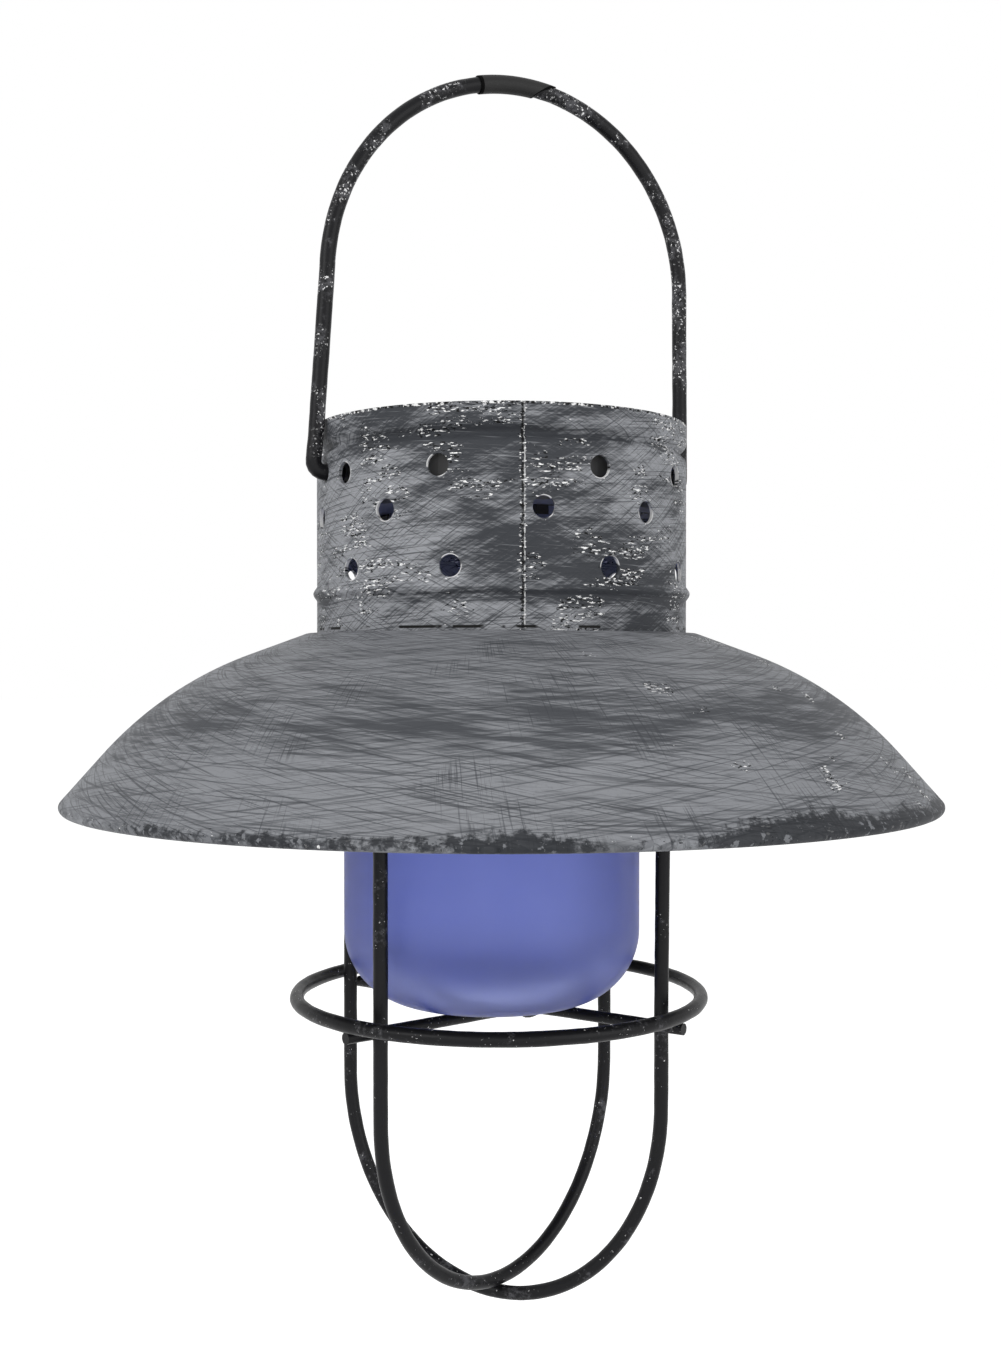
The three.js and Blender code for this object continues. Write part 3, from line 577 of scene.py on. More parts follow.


# %% [markdown]
# ## Wire paint
# Bail and cage are the same dark paint on round wire, rubbed to grey where hands and the brush
# have touched it, with white specks that are bared flecks in part and painted glints in part. The
# patches are longer than they are wide, but a wire turns every way, so a noise with several scales
# at once does the work here.

# %% Wire finish
def rubbed_wire(name, wear, seed):
    f = Finish(name, Specular_IOR_Level=0.12)
    patch = f.noise(9.0, detail=2.0, seed=seed)
    grain = f.noise(1.4, detail=5.0, roughness=0.7, seed=seed + 2.0)
    worn = f.step(f.blend((patch, 0.6), (grain, 0.6)), 0.64 - wear, 0.78 - wear)
    f.colour(f.mix(worn, grey(22, cool=2), grey(80, cool=3)))
    # White specks on the rubbed patches: bared flecks in part, and painted glints in part.
    specks_and_glints = f.spots(0.55, 0.66 - wear, 0.69 - wear, detail=2.0, seed=seed + 5.0)
    f.cover(f.times(specks_and_glints, f.step(patch, 0.46, 0.56)), grey(215))
    f.cover(f.spots(0.6, 0.64, 0.68, detail=2.0, seed=seed + 8.0), grey(14), 0.8)
    f.rough(0.36, worn, 0.25)
    f.bump(f.blend((grain, 1.0), (worn, 0.3)), 0.4, 0.1)
    return f.material


bail_paint = rubbed_wire("bail_paint", 0.05, 4.0)
cage_paint = rubbed_wire("cage_paint", -0.02, 13.0)
print("wire paint", len(bail_paint.node_tree.nodes), "nodes")


# %% [markdown]
# ## Glass and plastics
# The cup is blue glass with a little haze, so most of the light passes and the far side shows
# only as a shade of the same blue. Seen edge on, the glass is darker. Clear glass with a blue
# lamp inside was another way, but the cup is blue by daylight too. The solar unit is moulded, with
# a black cover and a grey housing, and one recipe with a fine grain serves all its plastics.

# %% Glass and plastic finishes
def tinted_glass():
    f = Finish("blue_glass", IOR=1.25, Transmission_Weight=0.86, Specular_IOR_Level=0.2)
    haze = f.noise(14.0, detail=2.0, seed=1.0)
    f.colour(f.mix(f.step(haze, 0.35, 0.7), (0.36, 0.41, 0.73, 1), (0.39, 0.44, 0.76, 1)))
    facing = f.add("ShaderNodeLayerWeight", {"Blend": 0.3}).outputs["Facing"]
    f.cover(f.step(facing, 0.18, 0.60), (0.05, 0.08, 0.42, 1))
    f.rough(0.38, haze, 0.12)
    f.bump(f.noise(11.0, detail=1.0, seed=3.0), 0.10, 0.3)
    return f.material


def moulded(name, colour, roughness, grain=0.35, **plain):
    f = Finish(name, **plain)
    f.tone = colour
    pores = f.noise(grain, detail=2.0, seed=2.0)
    dusty = tuple(min(1.0, c * 1.5 + 0.01) for c in colour[:3]) + (1.0,)
    f.cover(f.spots(12.0, 0.45, 0.8, seed=6.0), dusty, 0.5)
    f.rough(roughness, pores, 0.12)
    f.bump(pores, 0.25, 0.05)
    return f.material


blue_glass = tinted_glass()
black_plastic = moulded("black_plastic", grey(34), 0.42)
grey_plastic = moulded("grey_plastic", grey(78), 0.45)
case_grey = moulded("case_grey", grey(112), 0.55, grain=0.6)
rubber = moulded("seal_rubber", grey(30), 0.75)
steel = moulded("plated_steel", grey(190), 0.22, Metallic=1.0)
silver = moulded("silvered_plastic", grey(205), 0.15, Metallic=0.9)
board_green = moulded("board_green", (0.02, 0.11, 0.05, 1), 0.35)
wrap_green = moulded("battery_wrap", (0.05, 0.16, 0.08, 1), 0.3)
red_sleeve = moulded("red_sleeve", (0.40, 0.02, 0.02, 1), 0.4)
black_sleeve = moulded("black_sleeve", grey(24), 0.4)
clear_resin = moulded("clear_resin", (0.9, 0.88, 0.78, 1), 0.05, IOR=1.5, Transmission_Weight=0.9)
clear_window = moulded("clear_window", (0.93, 0.96, 0.97, 1), 0.06, IOR=1.2,
                       Transmission_Weight=1.0, Specular_IOR_Level=0.15)
silicon = moulded("silicon", (0.012, 0.02, 0.07, 1), 0.45, grain=2.5, Specular_IOR_Level=0.12)
silver_ink = moulded("silver_ink", grey(180), 0.35, Metallic=0.7)
print("finishes", len(bpy.data.materials))


# %% [markdown]
# ## Turned pieces
# Chimney, shade, cup and cover are bodies of revolution. A Screw modifier could turn them, but a
# short lathe of our own gives a closed mesh with one point at each pole. It turns a closed outline
# in radius and height in 192 or 256 steps, which keeps the edges round in a close view.

# %% Lathe
def mesh_from(name, bm):
    mesh = bpy.data.meshes.new(name)
    bm.to_mesh(mesh)
    bm.free()
    return mesh


def sharpen(mesh, degrees=35.0):
    """Smooth shading, with the real corners kept crisp."""
    bm = bmesh.new()
    bm.from_mesh(mesh)
    for face in bm.faces:
        face.smooth = True
    for edge in bm.edges:
        edge.smooth = edge.is_manifold and edge.calc_face_angle(0.0) < math.radians(degrees)
    bm.to_mesh(mesh)
    bm.free()


def turned(name, outline, steps, centre=(0.0, 0.0)):
    """A mesh from a closed outline of (radius, height) in mm, turned about the Z axis."""
    bm = bmesh.new()
    rings = []
    for radius, height in outline:
        angles = [2 * math.pi * i / steps for i in range(steps if radius > 1e-6 else 1)]
        rings.append([bm.verts.new(((centre[0] + radius * math.cos(a)) * MM,
                                    (centre[1] + radius * math.sin(a)) * MM,
                                    height * MM)) for a in angles])
    for here, after in zip(rings, rings[1:] + rings[:1]):
        for i in range(steps):
            j = (i + 1) % steps
            corners = [here[i % len(here)], here[j % len(here)],
                       after[j % len(after)], after[i % len(after)]]
            corners = list(dict.fromkeys(corners))
            if len(corners) > 2:
                bm.faces.new(corners)
    if bm.calc_volume(signed=True) < 0:
        bmesh.ops.reverse_faces(bm, faces=bm.faces)
    return mesh_from(name, bm)


def arc(cx, cy, radius, start, end, steps):
    angles = [math.radians(start + (end - start) * i / steps) for i in range(steps + 1)]
    return [(cx + radius * math.cos(a), cy + radius * math.sin(a)) for a in angles]


def walled(line, thickness):
    """The closed outline of a sheet whose middle follows the line."""
    sides = ([], [])
    for i, (x, y) in enumerate(line):
        ax, ay = line[max(i - 1, 0)]
        bx, by = line[min(i + 1, len(line) - 1)]
        half = thickness / 2 / math.hypot(bx - ax, by - ay)
        for side, sign in zip(sides, (1, -1)):
            side.append((x - sign * (by - ay) * half, y + sign * (bx - ax) * half))
    return sides[0] + sides[1][::-1]


# %% [markdown]
# ## Chimney
# The chimney is rolled from 0.8 mm sheet. A groove rolled inwards near its rim carries the solar
# unit, and a bead rolled outwards stiffens it above the shade. Both could be rings of their own,
# but then they would not run on into the sheet. So the outline is drawn once, with a raised cosine
# for groove and bead, and turned.

# %% Chimney shell
SHEET = 0.8
MIDDLE = CHIMNEY_RADIUS - SHEET / 2


def rolled_wave(drop, height, depth, steps=10):
    points = []
    for i in range(steps + 1):
        s = -1 + 2 * i / steps
        points.append((MIDDLE + depth * (1 + math.cos(math.pi * s)) / 2,
                       RIM - drop - s * height / 2))
    return points


chimney_line = ([(MIDDLE, RIM), (MIDDLE, RIM - 2.0)] + rolled_wave(GROOVE_DROP, 4.8, -1.7)
                + [(MIDDLE, RIM - GROOVE_DROP - 2.6 - 3.9 * k) for k in range(1, 7)]
                + rolled_wave(BEAD_DROP, 3.6, 0.9) + [(MIDDLE, FOOT)])
shell = turned("chimney_shell", walled(chimney_line, SHEET), 256)
print("shell faces", len(shell.polygons))

# %% [markdown]
# ## Punched holes
# Three rows of ten holes are punched at an even pitch, with a wider gap across the lap seam. Each
# row starts at its own angle. Thirty cylinders could be placed by hand, but then each row's pitch
# would have to be worked out again after every change. Geometry Nodes place the punches instead:
# points in a row, a short cylinder on each, turned to face outwards, and one boolean that takes
# them all out of the shell.

# %% Tree helpers
def geometry_tree(name, inputs):
    """A geometry tree with named inputs, and its input sockets."""
    return node_group(name, "GeometryNodeTree", {"Geometry": "Geometry", **inputs}, "Geometry")


def finish_tree(tree, geometry, material):
    real = tree.out("GeometryNodeRealizeInstances", {0: geometry})
    painted = tree.out("GeometryNodeSetMaterial", {"Geometry": real, "Material": material})
    tree.add("NodeGroupOutput", {0: painted})


def plain_copy(name, piece):
    """The mesh of an object with its modifiers done; the object is removed."""
    evaluated = piece.evaluated_get(bpy.context.evaluated_depsgraph_get())
    result = bpy.data.meshes.new_from_object(evaluated)
    result.name = name
    bpy.data.objects.remove(piece)
    return result


def grown(name, mesh, tree, values):
    """The plain mesh that the tree makes of the given mesh and values."""
    seed = shown_object(name + "_seed", mesh)
    modifier = seed.modifiers.new("grow", "NODES")
    modifier.node_group = tree.tree
    for item in tree.tree.interface.items_tree:
        if item.item_type == "SOCKET" and item.in_out == "INPUT" and item.name in values:
            modifier[item.identifier] = values[item.name]
    return plain_copy(name, seed)


# %% Punching tree
PUNCH_SIDES = 40
punch_inputs = {"Hole diameter": 5.0, "Holes in a row": HOLES, "Gap at seam": SEAM_GAP,
                "Seam angle": SEAM, "Radius": CHIMNEY_RADIUS, "Finish": "Material"}
for number, (drop, start) in enumerate(ROWS, 1):
    punch_inputs[f"Row {number} height"] = RIM - drop
    punch_inputs[f"Row {number} start"] = start
punching, given = geometry_tree("punched_rows", punch_inputs)
punch = punching.out("GeometryNodeMeshCylinder",
                     {"Vertices": PUNCH_SIDES, "Depth": 7.0 * MM,
                      "Radius": punching.times(given["Hole diameter"], MM / 2)})
pitch = punching.maths("DIVIDE", punching.minus(360.0, given["Gap at seam"]),
                       punching.minus(given["Holes in a row"], 1.0))
counter = punching.out("GeometryNodeInputIndex")
reach = punching.times(given["Radius"], MM)
rows = punching.add("GeometryNodeJoinGeometry")
for number in range(1, len(ROWS) + 1):
    first = punching.maths("ADD", given["Seam angle"], given[f"Row {number} start"])
    degrees = punching.maths("ADD", first, punching.times(counter, pitch))
    angle = punching.maths("RADIANS", degrees)
    spot = punching.vector(punching.times(reach, punching.maths("SINE", angle)),
                           punching.times(punching.times(reach, -1.0),
                                          punching.maths("COSINE", angle)),
                           punching.times(given[f"Row {number} height"], MM))
    points = punching.out("GeometryNodePoints",
                          {"Count": given["Holes in a row"], "Position": spot})
    outwards = punching.out("FunctionNodeEulerToRotation",
                            {0: punching.vector(math.pi / 2, 0.0, angle)})
    placed = punching.out("GeometryNodeInstanceOnPoints",
                          {"Points": points, "Instance": punch, "Rotation": outwards})
    punching.tree.links.new(placed, rows.inputs[0])
tools = punching.out("GeometryNodeRealizeInstances", {0: rows.outputs[0]})
holed = punching.out("GeometryNodeMeshBoolean", {"Mesh 1": given["Geometry"], "Mesh 2": tools},
                     operation="DIFFERENCE", solver="EXACT")
finish_tree(punching, holed, given["Finish"])

# %% [markdown]
# The two pivot holes are one more punch, straight through along X. The lap seam is a shallow cut
# down the whole height, over groove and bead alike. It could be painted on, but a cut catches the
# light. It comes first, because a boolean does best on a simple closed shell.

# %% Punched chimney
def pivot_punch(radius=2.15, length=100.0):
    bm = bmesh.new()
    made = bmesh.ops.create_cone(bm, cap_ends=True, segments=PUNCH_SIDES, radius1=radius * MM,
                                 radius2=radius * MM, depth=length * MM)
    turn = Vector((0, 0, 1)).rotation_difference(Vector((1, 0, 0))).to_matrix()
    half_a_side = Matrix.Rotation(math.pi / PUNCH_SIDES, 3, "X")
    bmesh.ops.rotate(bm, verts=made["verts"], cent=(0, 0, 0), matrix=half_a_side @ turn)
    bmesh.ops.translate(bm, verts=made["verts"], vec=(0, 0, PIVOT * MM))
    return mesh_from("pivot_punch", bm)


def seam_cutter(width=0.7, depth=0.35, beyond=1.0, outside=3.0):
    """A thin upright blade that follows the chimney's outside, a groove's depth below it."""
    inner = [(radius + SHEET / 2 - depth, height) for radius, height in chimney_line]
    top, bottom = RIM + beyond, FOOT - beyond
    inner = [(inner[0][0], top)] + inner + [(inner[-1][0], bottom)]
    outline = inner + [(CHIMNEY_RADIUS + outside, bottom), (CHIMNEY_RADIUS + outside, top)]
    out = Vector((math.sin(math.radians(SEAM)), -math.cos(math.radians(SEAM)), 0))
    along = Vector((-out.y, out.x, 0))
    bm = bmesh.new()
    sides = [[bm.verts.new((out * radius + along * side * width / 2 + Vector((0, 0, height))) * MM)
              for radius, height in outline] for side in (-1, 1)]
    bm.faces.new(sides[0])
    bm.faces.new(list(reversed(sides[1])))
    for i in range(len(outline)):
        j = (i + 1) % len(outline)
        bm.faces.new((sides[0][j], sides[0][i], sides[1][i], sides[1][j]))
    bmesh.ops.recalc_face_normals(bm, faces=bm.faces)
    return mesh_from("seam_cutter", bm)


def without(name, mesh, tool):
    """The mesh with another one cut away."""
    for finish in mesh.materials:
        tool.materials.append(finish)
    body = shown_object(name + "_whole", mesh)
    cutter = shown_object(name + "_cutter", tool)
    cut = body.modifiers.new("cut", "BOOLEAN")
    cut.object = cutter
    cut.operation = "DIFFERENCE"
    cut.solver = "EXACT"
    result = plain_copy(name, body)
    bpy.data.objects.remove(cutter)
    return result


seamed = without("chimney_seamed", shell, seam_cutter())
punched = grown("chimney_rows", seamed, punching, {**punch_inputs, "Finish": chimney_paint})
punched = without("chimney_punched", punched, pivot_punch())
sharpen(punched)
chimney = shown_object("chimney_punched", punched)
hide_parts("chimney")
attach(chimney, "lantern_body")
print("chimney faces", len(punched.polygons))

# %% [markdown]
# ## Shade
# The shade is spun sheet: a short flange against the chimney, a straight slope, a wide curve that
# steepens, and a small roll at the edge. A freehand curve could follow it, but arcs and a line can
# be measured and changed one by one: an arc for the flange's bend, one for the curve and one for
# the roll. Shade and chimney are welded; here they stand a small gap apart, as in the CAD.

# %% Spun shade
GAP = 0.3
NECK_DROP, NECK_BEND, FLANGE = 49.9, 1.4, 6.4
SLOPE, STRAIGHT_END = 20.3, 61.0
CURVE_RADIUS, EDGE_ANGLE = 84.4, 41.5
SHADE_RADIUS, HEM_RADIUS, HEM_TURN = 105.2, 1.0, 205.0
top = RIM - NECK_DROP - SHEET / 2
neck = CHIMNEY_RADIUS + GAP + SHEET / 2
bend = arc(neck + NECK_BEND, top - NECK_BEND, NECK_BEND, 180, 90 - SLOPE, 8)
bend_x, bend_z = bend[-1]
cone_z = bend_z - (STRAIGHT_END - bend_x) * math.tan(math.radians(SLOPE))
straight = [(bend_x + (STRAIGHT_END - bend_x) * k / 4, bend_z + (cone_z - bend_z) * k / 4)
            for k in range(1, 4)]
curve_x = STRAIGHT_END - CURVE_RADIUS * math.sin(math.radians(SLOPE))
curve_z = cone_z - CURVE_RADIUS * math.cos(math.radians(SLOPE))
curve = arc(curve_x, curve_z, CURVE_RADIUS, 90 - SLOPE, EDGE_ANGLE, 26)
slope = math.radians(90 - EDGE_ANGLE)
hem_x = SHADE_RADIUS - HEM_RADIUS - SHEET / 2
start_x = hem_x + HEM_RADIUS * math.sin(slope)
start_z = curve[-1][1] - (start_x - curve[-1][0]) * math.tan(slope)
hem = arc(hem_x, start_z - HEM_RADIUS * math.cos(slope), HEM_RADIUS, EDGE_ANGLE,
          EDGE_ANGLE - HEM_TURN, 16)
shade_line = [(neck, top - FLANGE)] + bend + straight + curve + hem
shade_mesh = turned("shade_spun", walled(shade_line, SHEET), 256)
shade_mesh.materials.append(shade_paint)
sharpen(shade_mesh)
shade = shown_object("shade_spun", shade_mesh)
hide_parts("shade")
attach(shade, "lantern_body")
print("shade faces", len(shade_mesh.polygons), "edge at", SHADE_RADIUS)

# %% [markdown]
# ## Wires
# Bail, hoops, ring and bars are all one thing: round wire along a line. A curve with a bevel
# would make the tube, but not the slight lumps of thick paint. One Geometry Nodes tree does both
# for every wire: it evens out a line of points, turns it into a tube and lifts the skin a little.
# Its inputs are the wire's diameter, the lumps' height and length, a seed and the spacing.

# %% Wire tree
WIRE_HALF = 1.7
wire_inputs = {"Diameter": 2 * WIRE_HALF, "Lump height": 0.06, "Lump length": 5.0, "Seed": 1.0,
               "Spacing": 0.9, "Finish": "Material"}
wiring, given = geometry_tree("wire_along_line", wire_inputs)
line = wiring.out("GeometryNodeMeshToCurve", {0: given["Geometry"]})
line = wiring.out("GeometryNodeResampleCurve",
                  {"Curve": line, "Length": wiring.times(given["Spacing"], MM)}, mode="LENGTH")
section = wiring.out("GeometryNodeCurvePrimitiveCircle",
                     {"Resolution": 24, "Radius": wiring.times(given["Diameter"], MM / 2)})
tube = wiring.out("GeometryNodeCurveToMesh",
                  {"Curve": line, "Profile Curve": section, "Fill Caps": True})
where = wiring.out("GeometryNodeInputPosition")
lumps = wiring.out("ShaderNodeTexNoise",
                   {"Vector": where, "W": given["Seed"], "Detail": 2.0,
                    "Scale": wiring.maths("DIVIDE", 1.0 / MM, given["Lump length"])},
                   noise_dimensions="4D")
height = wiring.times(wiring.minus(lumps, 0.5), wiring.times(given["Lump height"], 4 * MM))
normal = wiring.out("GeometryNodeInputNormal")
offset = wiring.out("ShaderNodeVectorMath", {0: normal, "Scale": height}, operation="SCALE")
bumpy = wiring.out("GeometryNodeSetPosition", {"Geometry": tube, "Offset": offset})
finish_tree(wiring, bumpy, given["Finish"])


def wire_piece(name, points, node, body, finish, closed=False, **values):
    mesh = bpy.data.meshes.new(name + "_line")
    edges = [(i, i + 1) for i in range(len(points) - 1)]
    if closed:
        edges.append((len(points) - 1, 0))
    mesh.from_pydata([Vector(p) * MM for p in points], edges, [])
    result = grown(name, mesh, wiring, {**wire_inputs, **values, "Finish": finish})
    sharpen(result, 50.0)
    piece = shown_object(name, result)
    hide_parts(node)
    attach(piece, body)
    print(name, len(result.polygons), "faces")
    return piece


# %% [markdown]
# ## Bail
# The bail is one wire. Its legs lean in a little, the arch is nearly half an ellipse, and the
# whole arch leans a little to one side, as a loose hand-bent wire does. Each foot turns through
# a tight bend and ends in a short pivot in the chimney's wall. The points could be set by hand,
# but a rule for one side also gives the other, and keeps the curve free of dents.

# %% Bail wire
RISE, SHOULDER, FOOT_HALF, TOP_HALF = 97.0, 48.0, 49.2, 47.3
PIVOT_END, PIVOT_WALL, FOOT_BEND = 42.0, 44.5, 2.6
PLAY, SKEW = 1.2, 3.2


def bail_at(side, h):
    if h <= SHOULDER:
        half = FOOT_HALF + (TOP_HALF - FOOT_HALF) * h / SHOULDER
    else:
        share = (h - SHOULDER) / (RISE - SHOULDER)
        half = TOP_HALF * math.sqrt(max(0.0, 1 - share * share))
    return (side * half + PLAY + SKEW * h / RISE, 0.0, PIVOT + h)


def bail_side(side):
    foot = [(PIVOT_END, 0.0), (PIVOT_WALL, 0.0)]
    foot += arc(FOOT_HALF - FOOT_BEND, FOOT_BEND, FOOT_BEND, -90, 0, 10)
    foot = [(side * x + PLAY, 0.0, PIVOT + h) for x, h in foot]
    leg = [bail_at(side, SHOULDER * k / 12) for k in range(2, 13)]
    arch = [bail_at(side, SHOULDER + (RISE - SHOULDER) * math.sin(math.pi / 2 * k / 40))
            for k in range(1, 40)]
    return foot + leg + arch


bail_line = bail_side(-1) + [bail_at(0, RISE)] + bail_side(1)[::-1]
bail = wire_piece("bail_bent_wire", bail_line, "bail_wire", "bail", bail_paint, Diameter=3.7)

# %% [markdown]
# ## Grip over the crown
# A smooth sleeve is wrapped over the crown where the hook carries the lantern. Its left end is
# square and its right end is cut at a slant, with a dark line at both. The wire tree would make
# both ends square, so the sleeve is built from rings round the bail's line that slant more and
# more.

# %% Crown grip
grip_finish = moulded("grip_wrap", grey(38), 0.45, grain=0.5, Specular_IOR_Level=0.15)
grip_line = moulded("grip_line", grey(4), 0.7, grain=0.5, Specular_IOR_Level=0.05)
GRIP_OUTER, GRIP_INNER = 2.2, 1.92
GRIP_START, GRIP_END, END_SLANT = -6.2, 11.2, 3.0


def grip_ring(bm, radius, share, sides):
    """A ring of points round the bail's line, at a share of the way along the grip."""
    ring = []
    for k in range(sides):
        a = 2 * math.pi * k / sides
        x = GRIP_START + (GRIP_END - GRIP_START) * share + END_SLANT * math.cos(a) * share ** 4
        local = (x - PLAY - SKEW) / TOP_HALF
        z = SHOULDER + (RISE - SHOULDER) * math.sqrt(1 - local * local)
        lean = -local * (RISE - SHOULDER) / TOP_HALF
        up = Vector((-lean, 0, 1)).normalized()
        round_line = up * math.cos(a) + Vector((0, 1, 0)) * math.sin(a)
        ring.append(bm.verts.new((Vector((x, 0, PIVOT + z)) + round_line * radius) * MM))
    return ring


def crown_grip(steps=24, sides=24):
    bm = bmesh.new()
    outer, inner = ([grip_ring(bm, radius, i / steps, sides) for i in range(steps + 1)]
                    for radius in (GRIP_OUTER, GRIP_INNER))
    order = outer + inner[::-1]
    for number, (here, after) in enumerate(zip(order, order[1:] + order[:1])):
        for k in range(sides):
            j = (k + 1) % sides
            face = bm.faces.new((here[k], here[j], after[j], after[k]))
            face.material_index = 1 if number % (steps + 1) in (0, steps - 1, steps) else 0
    bmesh.ops.recalc_face_normals(bm, faces=bm.faces)
    return mesh_from("crown_grip", bm)


grip_mesh = crown_grip()
grip_mesh.materials.append(grip_finish)
grip_mesh.materials.append(grip_line)
sharpen(grip_mesh)
grip = shown_object("crown_grip", grip_mesh)
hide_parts("crown_sleeve")
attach(grip, "bail")
print("grip faces", len(grip_mesh.polygons))

# %% [markdown]
# ## Cage
# The two hoops hang from inside the chimney and cross at the bottom. The ring stands round the
# glass's foot, and two bars run under ring and glass. One bar rises and the other dips a little
# where they cross. The lower hoop and the ring stand a little off the axis. Ready-made circles
# could be bent to this, but lines worked out from the chimney's radius and the frame's heights
# stay in their places when those change.

# %% Hoops, ring and bars
BAR_HALF = 1.4
HOOP_RADIUS = CHIMNEY_RADIUS - SHEET - GAP - WIRE_HALF
LEG_TOP, CURVE_Z = FOOT + 13.0, FOOT - 104.3
UPPER_DEPTH, LOWER_DEPTH, RING_RADIUS = 47.1, 50.8, 49.4
BAR_Z = RING - WIRE_HALF - BAR_HALF - GAP
BAR_REACH, JOGGLE_LENGTH, JOGGLE_HALF = 49.0, 4.2, 0.775
UPPER, LOWER = -64.5, 41.0
LEAN = (-0.6, 0.27)


def around(radius, degrees):
    return (radius * math.sin(math.radians(degrees)), -radius * math.cos(math.radians(degrees)))


def leant(point, lean):
    """A point moved aside with its depth below the chimney, fully so at the ring."""
    share = min(max((FOOT - point[2]) / (FOOT - RING), 0.0), 1.0)
    return (point[0] + LEAN[0] * lean * share, point[1] + LEAN[1] * lean * share, point[2])


def hoop_line(angle, depth, lean):
    leg = [LEG_TOP - (LEG_TOP - CURVE_Z) * k / 30 for k in range(30)]
    curve = [(math.cos(a) * HOOP_RADIUS, CURVE_Z - math.sin(a) * depth)
             for a in (math.pi * k / 80 for k in range(81))]
    line = [(HOOP_RADIUS, z) for z in leg] + curve + [(-HOOP_RADIUS, z) for z in leg[::-1]]
    return [leant((*around(r, angle), z), lean) for r, z in line]


wire_piece("cage_hoop_upper", hoop_line(UPPER, UPPER_DEPTH, 0.0), "hoop_upper", "lantern_body",
           cage_paint, Seed=2.0)
wire_piece("cage_hoop_lower", hoop_line(LOWER, LOWER_DEPTH, 1.0), "hoop_lower", "lantern_body",
           cage_paint, Seed=3.0)
ring_line = [leant((*around(RING_RADIUS, 360 * k / 180), RING), 1.0) for k in range(180)]
wire_piece("cage_ring", ring_line, "guard_ring", "lantern_body", cage_paint, closed=True, Seed=4.0)


def bar_line(leg_angle, bar_angle, lean):
    """A point beside a hoop's leg, and the direction of the bar that passes there."""
    run = Vector(around(1.0, bar_angle))
    beside = Vector((run.y, -run.x)) * (WIRE_HALF + BAR_HALF + GAP)
    return Vector(around(HOOP_RADIUS, leg_angle)) + Vector(LEAN) * lean + beside, run


def bar_ends(start, run):
    along = start.dot(run)
    reach = math.sqrt(BAR_REACH ** 2 - start.length_squared + along ** 2)
    return start + run * (-along - reach), start + run * (-along + reach)


def bar_points(first, crossing, last, sign):
    """From end to end, with a joggle up or down at the crossing."""
    points = [first.lerp(crossing, k / 40) for k in range(40)]
    points += [crossing.lerp(last, k / 40) for k in range(41)]
    rises = [math.cos(math.pi * min((p - crossing).length / JOGGLE_LENGTH, 1.0)) for p in points]
    return [(p.x, p.y, BAR_Z + sign * JOGGLE_HALF * (1 + rise)) for p, rise in zip(points, rises)]


over, under = bar_line(UPPER, -74.5, 0.0), bar_line(LOWER, 31.0, 1.0)
away = under[0] - over[0]
share = ((away.x * under[1].y - away.y * under[1].x)
         / (over[1].x * under[1].y - over[1].y * under[1].x))
crossing = over[0] + over[1] * share
far_end = Vector(around(HOOP_RADIUS - WIRE_HALF - 2 * GAP, UPPER + 180))
wire_piece("bar_over", bar_points(bar_ends(*over)[1], crossing, far_end, 1), "cross_bar_over",
           "lantern_body", cage_paint, Diameter=2 * BAR_HALF, Seed=5.0)
under_from, under_to = bar_ends(*under)
wire_piece("bar_under", bar_points(under_from, crossing, under_to, -1), "cross_bar_under",
           "lantern_body", cage_paint, Diameter=2 * BAR_HALF, Seed=6.0)

# %% [markdown]
# ## Glass cup
# The cup is moulded, with a round lip, a large bottom radius and a shallow hollow under its foot.
# It stands a little off centre in the cage, as in the photograph. One side with a Solidify
# modifier would give an even wall, but a moulded cup has a thick foot and a full lip, so the
# outline draws outside and inside.

# %% Cup
CUP_RADIUS, CUP_WALL, CUP_FLOOR, CORNER = 36.2, 2.4, 5.2, 18.0
LIP, LIP_HEIGHT = 1.2, 93.2
CUP_ASIDE = (-2.19, 0.98)
wall_heights = (30.0, 45.0, 60.0, 75.0)
corner_x = CUP_RADIUS - CORNER
inside = CORNER - CUP_WALL
cup_outline = ([(0.0, 2.0), (14.6, 2.0), (16.0, 0.5), (17.2, 0.0)]
               + arc(corner_x, CORNER, CORNER, -90, 0, 24)
               + [(CUP_RADIUS, z) for z in (*wall_heights, 88.0)]
               + arc(CUP_RADIUS - LIP, LIP_HEIGHT, LIP, 0, 180, 10)
               + [(CUP_RADIUS - CUP_WALL, z) for z in wall_heights[::-1]]
               + arc(corner_x, CUP_FLOOR + inside, inside, 0, -90, 20) + [(0.0, CUP_FLOOR)])
cup_mesh = turned("glass_cup_moulded", [(r, z + low("glass_cup")) for r, z in cup_outline], 192,
                  CUP_ASIDE)
cup_mesh.materials.append(blue_glass)
sharpen(cup_mesh, 60.0)
cup = shown_object("glass_cup_moulded", cup_mesh)
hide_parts("glass_cup")
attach(cup, "glass")
print("cup faces", len(cup_mesh.polygons))

# %% [markdown]
# ## Solar unit
# From above the unit is a black plastic cover with a square solar cell under a clear window. The
# cell's silver lines could be a pattern in its material, but strips of real thickness also reach
# the exported mesh. A Geometry Nodes tree lays them: thin fingers at an even pitch and two wider
# bars across them. The rest of the unit sits inside the chimney. It keeps its CAD solids and takes
# only its finishes here.

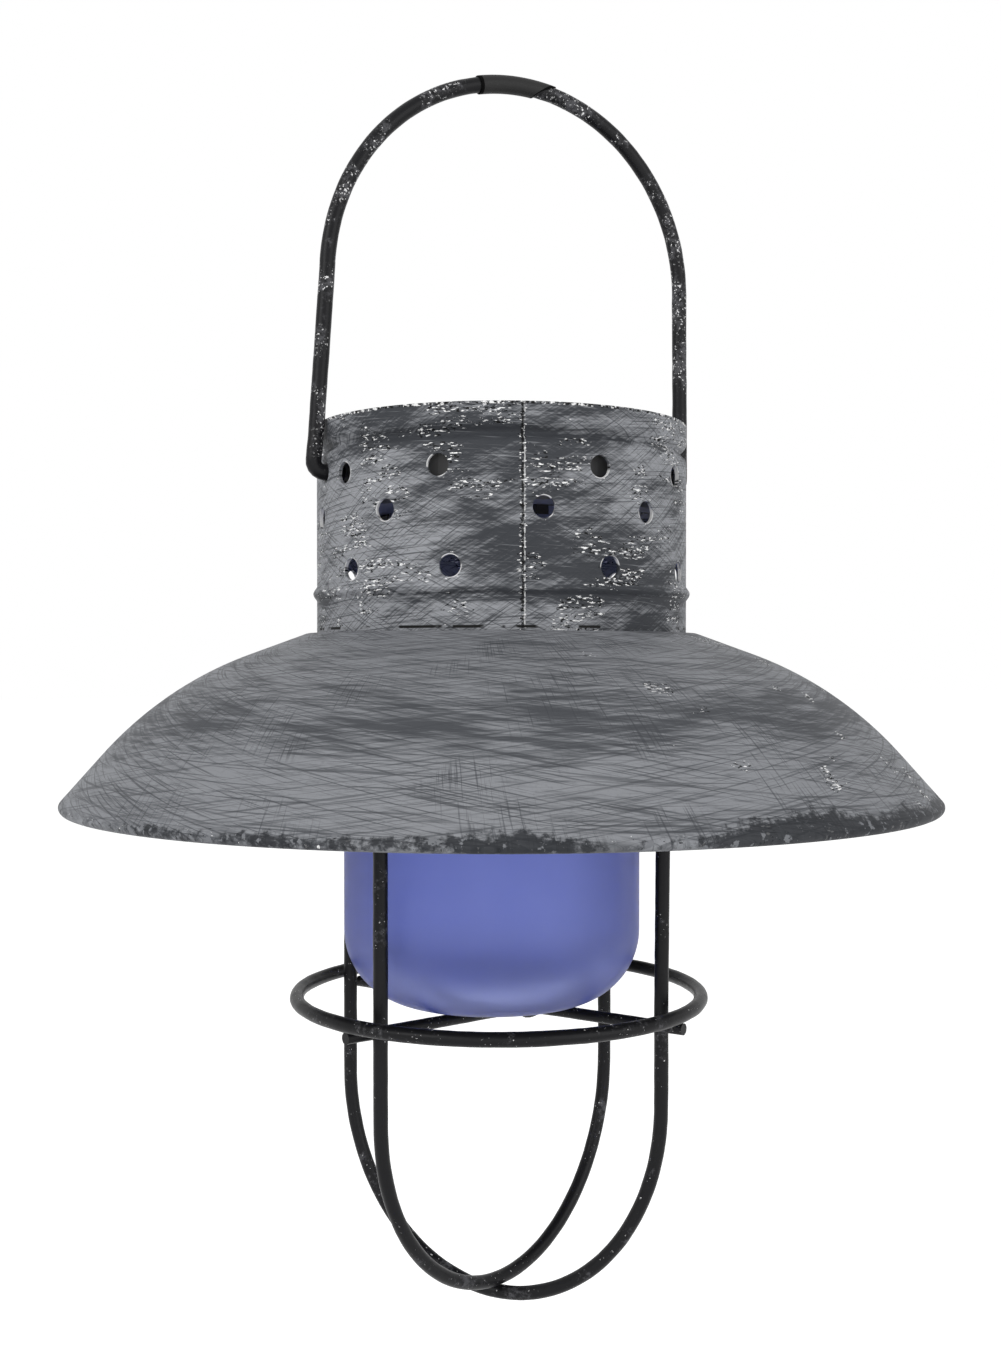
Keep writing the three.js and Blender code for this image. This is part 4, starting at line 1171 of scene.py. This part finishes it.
# %% Cover
COVER_RADIUS, COVER_EDGE, ROOM = 43.4, 0.6, 0.15
COVER_LOW, COVER_TOP = high("seal_ring") + ROOM, high("unit_cover")
WINDOW_HALF = (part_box("cell_window")[1][0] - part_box("cell_window")[0][0]) / MM / 2
POCKET_HEIGHT = 4
cover_mesh = turned("cover_plate", [(0, COVER_LOW), (COVER_RADIUS, COVER_LOW),
                                    (COVER_RADIUS, COVER_TOP - COVER_EDGE)]
                    + arc(COVER_RADIUS - COVER_EDGE, COVER_TOP - COVER_EDGE, COVER_EDGE, 0, 90, 6)
                    + [(0, COVER_TOP)], 192)
bm = bmesh.new()
made = bmesh.ops.create_cube(bm, size=1.0)
side = 2 * (WINDOW_HALF + ROOM)
bmesh.ops.scale(bm, verts=made["verts"], vec=(side * MM, side * MM, POCKET_HEIGHT * MM))
bmesh.ops.translate(bm, verts=made["verts"],
                    vec=(0, 0, (low("solar_cell") - ROOM + POCKET_HEIGHT / 2) * MM))
cover_mesh = without("cover_plate", cover_mesh, mesh_from("pocket", bm))
cover_mesh.materials.clear()
cover_mesh.materials.append(black_plastic)
sharpen(cover_mesh)
cover = shown_object("cover_plate", cover_mesh)
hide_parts("unit_cover")
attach(cover, "solar_unit")
print("cover faces", len(cover_mesh.polygons))

# %% Cell lines
BAR_WIDTH, BAR_PLACE = 1.2, 12.0
FINGER_THICK, BAR_THICK = 0.06, 0.08
finger_inputs = {"Fingers": 24, "Pitch": 2.0, "Finger width": 0.14, "Length": 48.0,
                 "Height": high("solar_cell"), "Finish": "Material"}
fingers, given = geometry_tree("cell_fingers", finger_inputs)
counter = fingers.out("GeometryNodeInputIndex")
middle = fingers.maths("DIVIDE", fingers.minus(given["Fingers"], 1.0), 2.0)
x_place = fingers.times(fingers.minus(counter, middle), fingers.times(given["Pitch"], MM))
level = fingers.times(given["Height"], MM)
length = fingers.times(given["Length"], MM)
points = fingers.out("GeometryNodePoints", {"Count": given["Fingers"],
                                            "Position": fingers.vector(x_place, 0.0, level)})
size = fingers.vector(fingers.times(given["Finger width"], MM), length, FINGER_THICK * MM)
strip = fingers.out("GeometryNodeMeshCube", {"Size": size})
laid = fingers.out("GeometryNodeInstanceOnPoints", {"Points": points, "Instance": strip})
wide = fingers.vector(length, BAR_WIDTH * MM, BAR_THICK * MM)
bar = fingers.out("GeometryNodeMeshCube", {"Size": wide})
join = fingers.add("GeometryNodeJoinGeometry", {0: laid})
for place in (-BAR_PLACE, BAR_PLACE):
    moved = fingers.out("GeometryNodeTransform",
                        {"Geometry": bar, "Translation": fingers.vector(0.0, place * MM, level)})
    fingers.tree.links.new(moved, join.inputs[0])
finish_tree(fingers, join.outputs[0], given["Finish"])
finger_mesh = grown("cell_fingers", bpy.data.meshes.new("empty"), fingers,
                    {**finger_inputs, "Finish": silver_ink})
cell_lines = shown_object("cell_fingers", finger_mesh)
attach(cell_lines, "solar_unit")
print("cell lines", len(finger_mesh.polygons), "faces")

# %% Finishes of the CAD nodes that stay
kept = {
    "unit_housing": case_grey, "seal_ring": rubber, "cell_window": clear_window,
    "solar_cell": silicon, "case_screw_1": steel, "case_screw_2": steel, "case_screw_3": steel,
    "battery": wrap_green, "battery_spring": steel, "contact_minus": steel, "contact_plus": steel,
    "battery_door": black_plastic, "circuit_board": board_green, "led_lamp": clear_resin,
    "light_collar": silver, "switch_case": steel, "switch_slider": grey_plastic,
    "cell_lead_red": red_sleeve, "cell_lead_black": black_sleeve,
    "battery_lead_red": red_sleeve, "battery_lead_black": black_sleeve,
}
for node, finish in kept.items():
    mesh = frame["nodes"][node].data
    mesh.materials.clear()
    mesh.materials.append(finish)
print("CAD nodes kept", len(kept))
